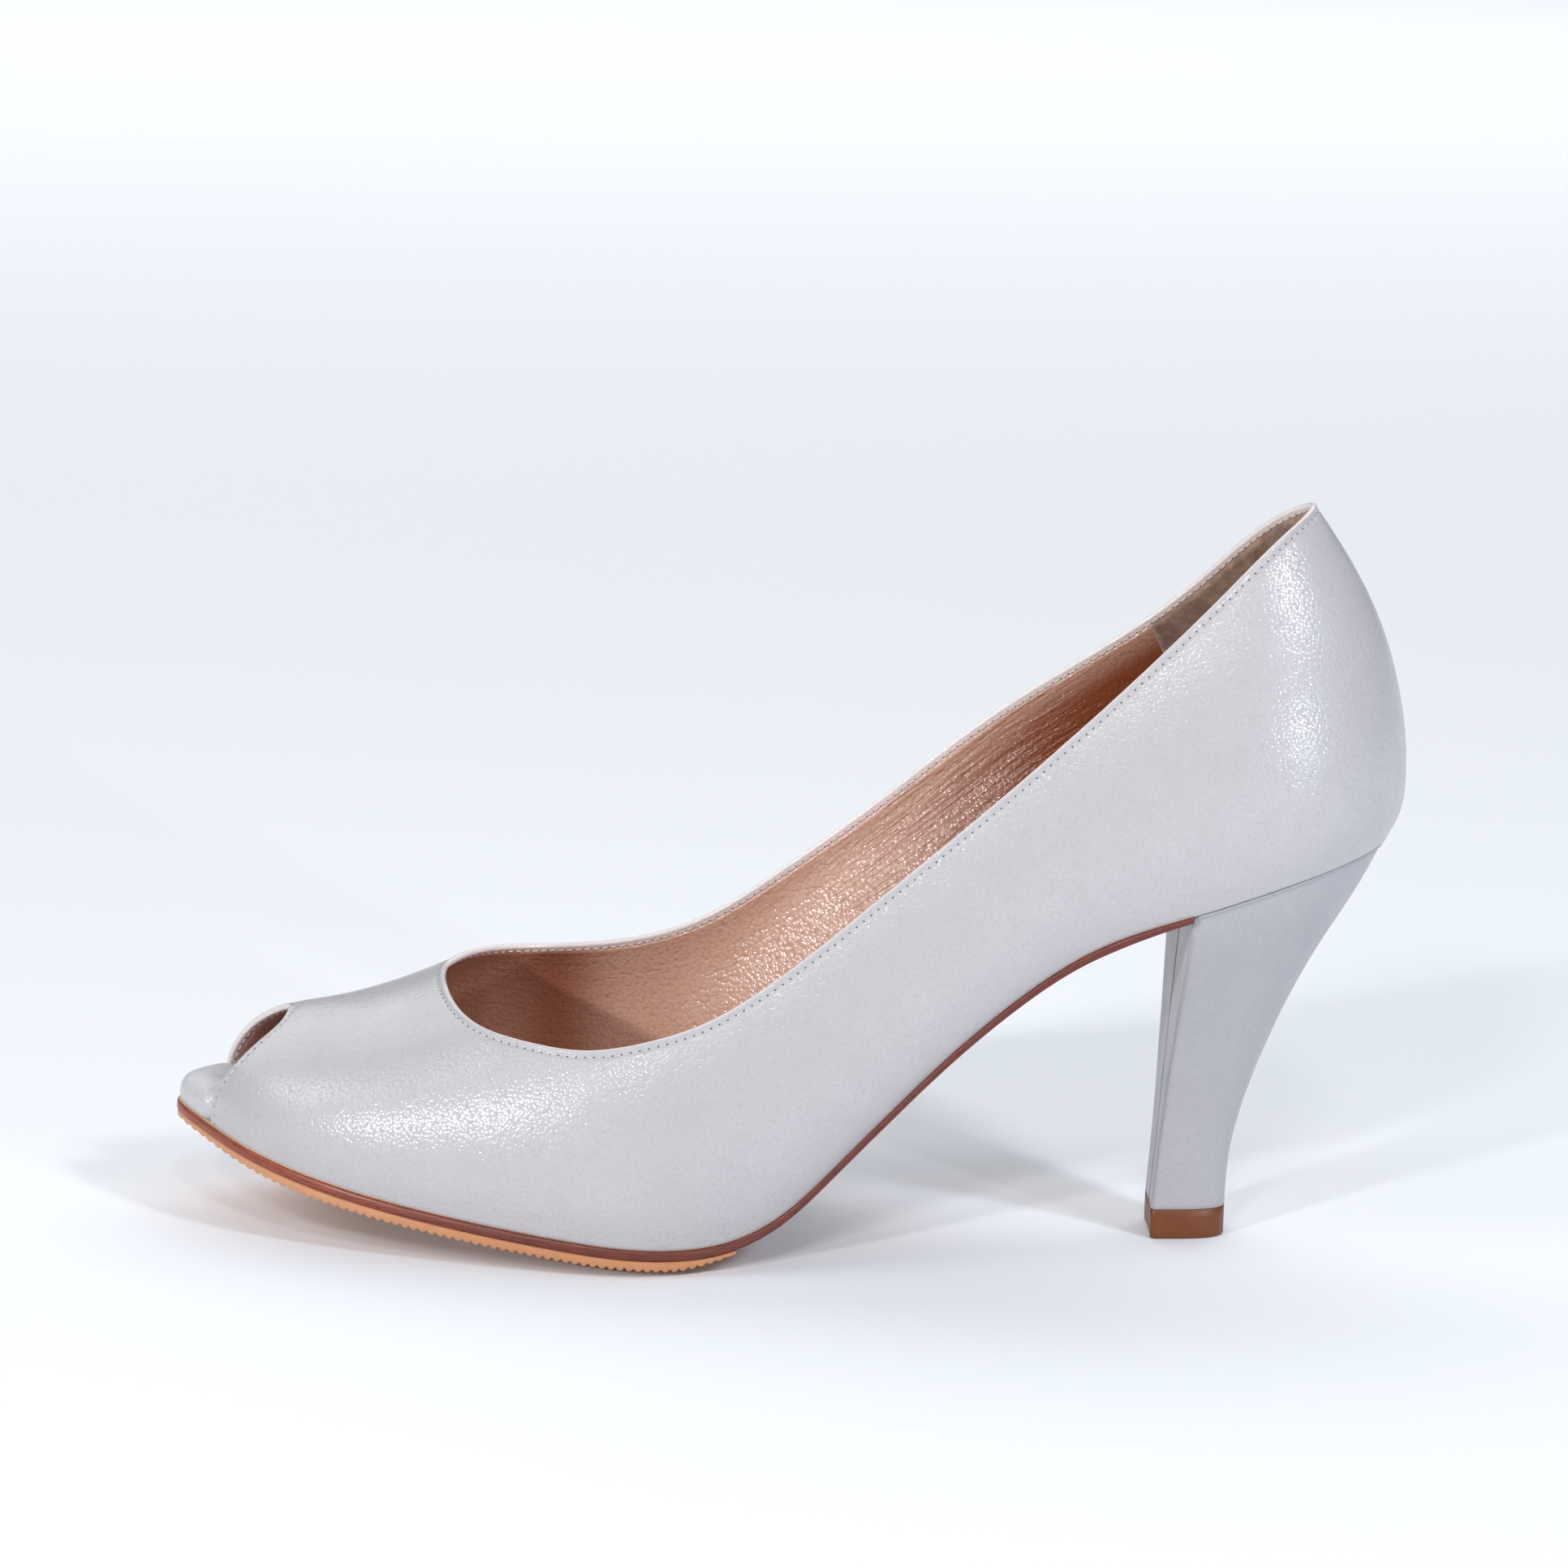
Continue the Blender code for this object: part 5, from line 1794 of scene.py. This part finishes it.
        levels = [((lambda share, at=at: inset(share, at)), (lambda x, y, at=at: height(x, y, at)))
                  for at in np.linspace(0.0, 1.0, self.pad_levels)]
        plate = Plate("toe_pad_leather_piece", levels, None, self.pad_end_x, self.pad_stations)
        return plate.build(material)


@dataclass
class Heel:
    """The covered heel block and the rubber lift under it."""

    lift_height: float = 5.7
    seat_inset: float = 0.4
    breast_hollow: float = 0.2
    breast_flat: Row = (0.86, 0.98)
    breast_gather: float = 2.2
    breast_ends: Row = (0.95, 0.985)
    breast_band: float = 1.5
    corner: float = 0.018
    corner_turn: float = 0.12
    corner_out: float = 2.0 / 3.0
    round_gather: float = 1.6
    foot_square: float = 3.2
    seat_blend: float = 1.5
    knots: int = 10
    breast_points: int = 18
    round_points: int = 46
    levels: int = 70
    seam_depth: float = 0.7
    seam_width: float = 0.28
    # Where the painted shadow of the seam fades across the breast.
    painted_seam_shadow: Row = (0.26, 0.46)
    seam_low: float = 0.45
    foot_inset: float = 0.35
    foot_gap: float = 0.12
    rim_start: float = 0.8
    # The rounded rim under the seat: how far each ring stands out, and its drop.
    rim_rows: Table = ((-0.1, 0.5), (-0.3, 0.22), (-0.6, 0.05), (-1.0, 0.0))
    # The lift: how far each ring stands out, and its height.
    lift_rows: Table = ((-0.4, 0.0), (-0.12, 0.12), (0.0, 0.4), (0.0, 2.0), (0.0, 4.0), (0.0, 5.6),
                        (-0.15, 5.72))
    # Height share, breast x, back x, half width.
    rows: Table = (
        (0.0, 69.9, 84.2, 6.6), (0.13, 70.5, 84.7, 6.9), (0.26, 71.1, 86.5, 8.0), (0.43, 71.8, 90.5, 10.6),
        (0.61, 72.6, 96.0, 14.3), (0.755, 73.3, 101.6, 18.2), (0.89, 73.9, 107.4, 21.6),
        (1.0, 74.3, 111.4, 23.1))

    def __post_init__(self) -> None:
        """Turn the table into curves."""
        self.front, self.back, self.half = (column(self.rows, i) for i in (1, 2, 3))

    def half_ring(self, level: float) -> np.ndarray:
        """Give half a section of the heel.

        Args:
            level: Height share of the section.

        Returns:
            Points as shares of the way from breast to back and shares of the half width.
        """
        flat = self.breast_flat[0] + (self.breast_flat[1] - self.breast_flat[0]) * level
        knots = [(0.0, flat), (self.corner, flat + self.corner_out * (1.0 - flat))]
        seat_half = self.half(1.0) + self.seat_inset
        for i in range(1, self.knots + 1):
            angle = math.pi * (self.corner_turn + (1.0 - self.corner_turn) * i / self.knots)
            back = 0.5 - 0.5 * math.cos(angle)
            seat_x = LAST.breast_x + (LAST.heel_x - LAST.breast_x) * back
            seat = min(1.0, abs(float(LAST.plan[Side.LATERAL](LAST.turn(seat_x)))) / seat_half)
            foot = max(0.0, 1.0 - back ** self.foot_square) ** (1.0 / self.foot_square)
            knots.append((back, foot + (seat - foot) * level ** self.seat_blend))
        knots[-1] = (1.0, 0.0)
        knots = np.array(knots)
        scale = np.array([self.back(level) - self.front(level), self.half(level)])
        run = np.concatenate([[0.0], np.cumsum(np.linalg.norm(np.diff(knots * scale, axis=0), axis=1))])
        places = run[-1] * np.linspace(0.0, 1.0, self.round_points + 1) ** self.round_gather
        curve = np.stack([Curve(run, knots[:, i])(places) for i in (0, 1)], -1)
        breast = np.linspace(0.0, 1.0, self.breast_points + 1)[:-1] ** self.breast_gather
        breast = np.concatenate([breast, self.breast_ends]) * flat
        return np.concatenate([np.stack([np.zeros_like(breast), breast], -1), curve])

    def ring(self, level: float, low: float, grow: float = 0.0, seam: float = 0.0) -> np.ndarray:
        """Give a closed ring round the heel.

        Args:
            level: Height share of the section.
            low: Height that the heel stands on.
            grow: How far the ring stands out from its section.
            seam: How deep the cover's seam is sunk in the breast.

        Returns:
            The ring's points.
        """
        half = self.half_ring(level)
        along = np.concatenate([half[:, 0], half[-2:0:-1, 0]])
        across = np.concatenate([-half[:, 1], half[-2:0:-1, 1]])
        front, back, width = self.front(level), self.back(level), self.half(level)
        breast = np.where(along == 0.0, 1.0, 0.0)
        y = width * across
        x = front + (back - front) * along + breast * self.breast_hollow * (1.0 - across ** 2)
        depth = seam * (self.seam_low + (1.0 - self.seam_low) * level)
        x = x + breast * depth * np.exp(-(y / self.seam_width) ** 2)
        seat_x = self.front(1.0) + (self.back(1.0) - self.front(1.0)) * along
        z = low + (LAST.feather[Side.LATERAL](seat_x) - low) * level
        middle = 0.5 * (front + back)
        away = np.stack([x - middle, y], -1)
        away = away / np.maximum(np.linalg.norm(away, axis=1), TINY)[:, None]
        return np.stack([x + grow * away[:, 0], y + grow * away[:, 1], z], -1)

    def make_block(self, material: bpy.types.Material) -> bpy.types.Object:
        """Make the covered block, with the seam of its cover down the breast.

        Args:
            material: Its finish.

        Returns:
            The piece.
        """
        rings = [self.ring(0.0, self.lift_height, -self.foot_inset, self.seam_depth)]
        for level in np.linspace(0.0, 1.0, self.levels + 1):
            rings.append(self.ring(level, self.lift_height + self.foot_gap, 0.0, self.seam_depth))
        rings[-1][:, 2] -= self.rim_start
        for grow, drop in self.rim_rows:
            top = self.ring(1.0, self.lift_height, grow, self.seam_depth)
            top[:, 2] -= drop
            rings.append(top)
        rings = np.array(rings)
        # Painted shadow: the seam groove down the breast is marked dark in the surface map, for the shade
        # inside it.
        seam = 1.0 - smooth_step(np.abs(rings[..., 1]), *self.painted_seam_shadow)
        front = rings[..., 0] < LAST.breast_x + self.breast_band
        uv = np.stack([np.where(front, seam, 0.0), rings[..., 2]], -1).reshape(-1, 2)
        faces = ring_faces(*rings.shape[:2])
        return make_piece("heel_leather_piece", rings.reshape(-1, 3), faces, material, uv)

    def make_lift(self, material: bpy.types.Material) -> bpy.types.Object:
        """Make the lift, with a small bevel at its foot.

        Args:
            material: Its finish.

        Returns:
            The piece.
        """
        rings = []
        for grow, z in self.lift_rows:
            ring = self.ring(0.0, 0.0, grow)
            ring[:, 2] = z
            rings.append(ring)
        rings = np.array(rings)
        return make_piece("lift_rubber_piece", rings.reshape(-1, 3), ring_faces(*rings.shape[:2]), material)


def direction(azimuth_deg: float, elevation_deg: float) -> Vector:
    """Give the direction from the shoe to a place round it.

    Args:
        azimuth_deg: Turn from the outer side of the shoe towards its heel.
        elevation_deg: Rise above the floor.

    Returns:
        A vector of length 1.
    """
    turn, rise = math.radians(azimuth_deg), math.radians(elevation_deg)
    return Vector((math.sin(turn) * math.cos(rise), -math.cos(turn) * math.cos(rise), math.sin(rise)))


def area_light(name: str, size: Row, power_w: float) -> bpy.types.Object:
    """Make a rectangular light at the origin.

    Args:
        name: The light's name.
        size: Its width and height.
        power_w: Its power.

    Returns:
        The light.
    """
    data = bpy.data.lights.new(name, "AREA")
    data.shape = "RECTANGLE"
    data.size, data.size_y = size
    data.energy = power_w
    light = bpy.data.objects.new(name, data)
    bpy.context.scene.collection.objects.link(light)
    return light


@dataclass(frozen=True)
class Viewpoint:
    """The photograph's viewpoint: a long lens, a little above the shoe and slightly rolled."""

    target_mm: Row = (0.0, 0.0, 84.8)
    distance_mm: float = 900.0
    elevation_deg: float = 12.0
    azimuth_deg: float = -1.0
    roll_deg: float = 1.0
    focal_px: float = 6000.0
    image_px: float = 1932.0
    sensor_mm: float = 36.0
    clip_m: Row = (0.01, 50.0)

    def make(self) -> None:
        """Make the camera and give it to the scene."""
        turn, roll = math.radians(self.azimuth_deg), math.radians(self.roll_deg)
        back = direction(self.azimuth_deg, self.elevation_deg)
        level = Vector((math.cos(turn), math.sin(turn), 0.0))
        upright = back.cross(level)
        right = math.cos(roll) * level + math.sin(roll) * upright
        up = math.cos(roll) * upright - math.sin(roll) * level
        data = bpy.data.cameras.new("photo_camera")
        data.sensor_fit = "HORIZONTAL"
        data.sensor_width = self.sensor_mm
        data.lens = self.sensor_mm * self.focal_px / self.image_px
        data.clip_start, data.clip_end = self.clip_m
        camera = bpy.data.objects.new("photo_camera", data)
        bpy.context.scene.collection.objects.link(camera)
        place = Vector(LAST.in_frame(np.array(self.target_mm))) + back * self.distance_mm * MM
        turned = Matrix((right, up, back)).transposed()
        camera.matrix_world = Matrix.Translation(place) @ turned.to_4x4()
        bpy.context.scene.camera = camera


@dataclass(frozen=True)
class Softbox:
    """A rectangular soft light that faces the shoe."""

    name: str
    azimuth_deg: float
    elevation_deg: float
    distance_m: float
    width_m: float
    height_m: float
    power_w: float
    colour: str = "#ffffff"
    aim_m: Row = (0.0, 0.0, 0.07)

    def make(self) -> None:
        """Make the light, aimed at the middle of the shoe."""
        away = direction(self.azimuth_deg, self.elevation_deg)
        light = area_light(self.name, (self.width_m, self.height_m), self.power_w)
        light.data.color = linear(self.colour)[:3]
        light.location = Vector(self.aim_m) + away * self.distance_m
        light.rotation_euler = away.to_track_quat("Z", "Y").to_euler()


@dataclass
class Studio:
    """The pale floor, the soft lights and the bright room round them."""

    floor_size: float = 16.0
    floor_colour: str = "#eff2f6"
    floor_roughness: float = 0.9
    room_colour: str = "#eef4ff"
    room_low: float = 0.14
    room_high: float = 0.25
    room_rise: Row = (0.05, 0.8)
    lights: tuple[Softbox, ...] = (
        Softbox("left_side", -75.0, 34.0, 1.6, 0.45, 0.45, 4.0),
        Softbox("left_spot", -42.0, 17.0, 1.6, 0.12, 0.06, 9.5),
        Softbox("left_box", -15.0, 33.0, 1.6, 0.14, 0.14, 3.4),
        Softbox("front_top", 5.0, 42.0, 1.7, 0.16, 0.16, 3.0),
        Softbox("right_box", 49.0, 37.0, 1.6, 0.15, 0.26, 8.0, "#f2f7ff"),
        Softbox("right_spot", 40.0, 9.0, 1.6, 0.08, 0.05, 6.0, "#f2f7ff"))
    backdrop: Row = (-0.4, 3.7, 2.6)
    backdrop_size: Row = (9.0, 5.4)
    backdrop_power: float = 215.0

    def make_floor(self) -> None:
        """Make the floor: flat paint, pale and without gloss."""
        half = 0.5 * self.floor_size
        mesh = bpy.data.meshes.new("floor")
        mesh.from_pydata([(-half, -half, 0.0), (half, -half, 0.0), (half, half, 0.0), (-half, half, 0.0)],
                         [], [(0, 1, 2, 3)])
        floor = bpy.data.objects.new("floor", mesh)
        bpy.context.scene.collection.objects.link(floor)
        tree, shader, _ = start_material("painted_floor")
        feed(tree, shader, {"Base Color": linear(self.floor_colour), "Roughness": self.floor_roughness,
                            "Specular IOR Level": 0.0})
        mesh.materials.append(bpy.data.materials["painted_floor"])

    def make_room(self) -> None:
        """Make the room: a cool light from all sides, brighter overhead."""
        world = bpy.data.worlds.new("room")
        world.use_nodes = True
        tree = world.node_tree
        way = add_node(tree, "ShaderNodeTexCoord").outputs["Generated"]
        above = add_node(tree, "ShaderNodeSeparateXYZ", {0: way}).outputs["Z"]
        low, high = self.room_rise
        bright = add_node(tree, "ShaderNodeMapRange",
                          {"Value": above, "From Min": low, "From Max": high, "To Min": self.room_low,
                           "To Max": self.room_high}, interpolation_type="SMOOTHSTEP")
        feed(tree, tree.nodes["Background"],
             {"Color": linear(self.room_colour), "Strength": bright.outputs["Result"]})
        bpy.context.scene.world = world
        bpy.context.scene.view_settings.view_transform = "Standard"

    def make(self) -> None:
        """Make the floor, the lights, the panel over the backdrop and the room."""
        self.make_floor()
        for light in self.lights:
            light.make()
        panel = area_light("backdrop_panel", self.backdrop_size, self.backdrop_power)
        panel.location = self.backdrop
        self.make_room()


# Calf leather with a pigment finish: an even pale grey, and pebbles that break up its highlights. Its
# cut rim and the inside of the wall are painted paler and pinker, as painted light and a painted reflection
# of the lining.
PEARL = GrainLeather("pearl_calf_leather", "#b9b6b8", "#b0adaf", painted_light_shade_colour="#e8deda")
# The same calf over a soft pad: duller, and painted a shade lighter as painted light on the toe's front.
PAD_PEARL_PAINTED_LIGHTER = GrainLeather("toe_pad_leather", "#c2c1c4", "#b9b8bb", roughness=0.5, coat=0.25)
# The same calf stretched over a hard block: a flatter grain, a calmer gloss and a painted shadow along the
# groove of its seam.
HEEL_PEARL = GrainLeather("heel_cover_leather", "#acaaae", "#a3a1a6", relief_mm=0.04, roughness=0.48,
                          coat=0.35, line="#2e2930")
# Lining leather polished by the foot: warm tan and glossy along its creases, with painted shade at its
# front, by the ball and towards the grip, where a darker piece also lies.
LINING = GrainLeather("tan_lining_leather", "#dcb5a4", "#cea18b", grain_mm=0.8, relief_mm=0.13,
                      roughness=0.42, coat=1.0, coat_roughness=0.16, mottle_mm=9.0, crease_mm=1.0,
                      painted_light_shade_colour="#874525")
# Thin sock leather: tan and almost without gloss.
SOCK = GrainLeather("tan_sock_leather", "#c08c72", "#ae785d", grain_mm=0.5, roughness=0.5, coat=0.1)
# Brushed suede: a blotchy brown that takes no highlight.
GRIP = Suede("brown_suede", "#ac907d", "#795e4e")
# Burnished sole leather: a red-brown edge, streaked, under the pale line of the glue, and darkened from the
# toe to the ball as painted shade.
SOLE = EdgeLeather("burnished_sole_leather", "#9e421c", "#62210d", "#cdb58f", worn="#bda9a4")
# Crepe rubber: a dull, cloudy tan, a little darker towards the ball as painted shade.
TREAD = Rubber("tan_crepe_rubber", "#cb946e", "#b98359", roughness=0.65, worn="#f2e6dc")
# Hard moulded rubber: dark caramel with a satin face.
LIFT = Rubber("caramel_lift_rubber", "#753d15", "#65310f", roughness=0.42)
# Bonded thread: dull, a little lighter than the leather that it is sewn into.
PALE_THREAD = Thread("pearl_thread", "#cbc9cc", "#b7b4b8")
TAN_THREAD = Thread("tan_thread", "#dccfc4", "#b9a595")
# The shaded inside of a needle hole: dark, with no gloss.
NEEDLE_HOLE = Rubber("needle_hole", "#5f585a", "#4a4446", roughness=0.9)


def main() -> None:
    """Build the shoe piece by piece, then the studio."""
    logging.basicConfig(level=logging.INFO, format="%(name)s %(message)s")
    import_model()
    Viewpoint().make()

    upper = Upper()
    hand_over(upper.make_leather(PEARL.material()), "upper_leather", "upper")
    hand_over(upper.make_lining(LINING.material()), "insole_leather")
    hand_over(upper.make_grip(GRIP.material()), "insole_leather")
    for row in upper.make_stitches(PALE_THREAD.material(), NEEDLE_HOLE.material(), TAN_THREAD.material()):
        hand_over(row, "upper_leather")

    sole = Sole()
    hand_over(sole.make_outsole(SOLE.material()), "sole_leather", "outsole")
    hand_over(sole.make_tread(TREAD.material()), "tread_rubber", "tread")
    hand_over(sole.make_sock(SOCK.material()), "insole_leather", "insole")
    hand_over(sole.make_toe_pad(PAD_PEARL_PAINTED_LIGHTER.material()), "toe_cover_leather", "insole_toe_cover")

    heel = Heel()
    hand_over(heel.make_block(HEEL_PEARL.material()), "heel_leather", "heel")
    hand_over(heel.make_lift(LIFT.material()), "lift_rubber", "top_lift")

    Studio().make()


if __name__ == "__main__":
    main()
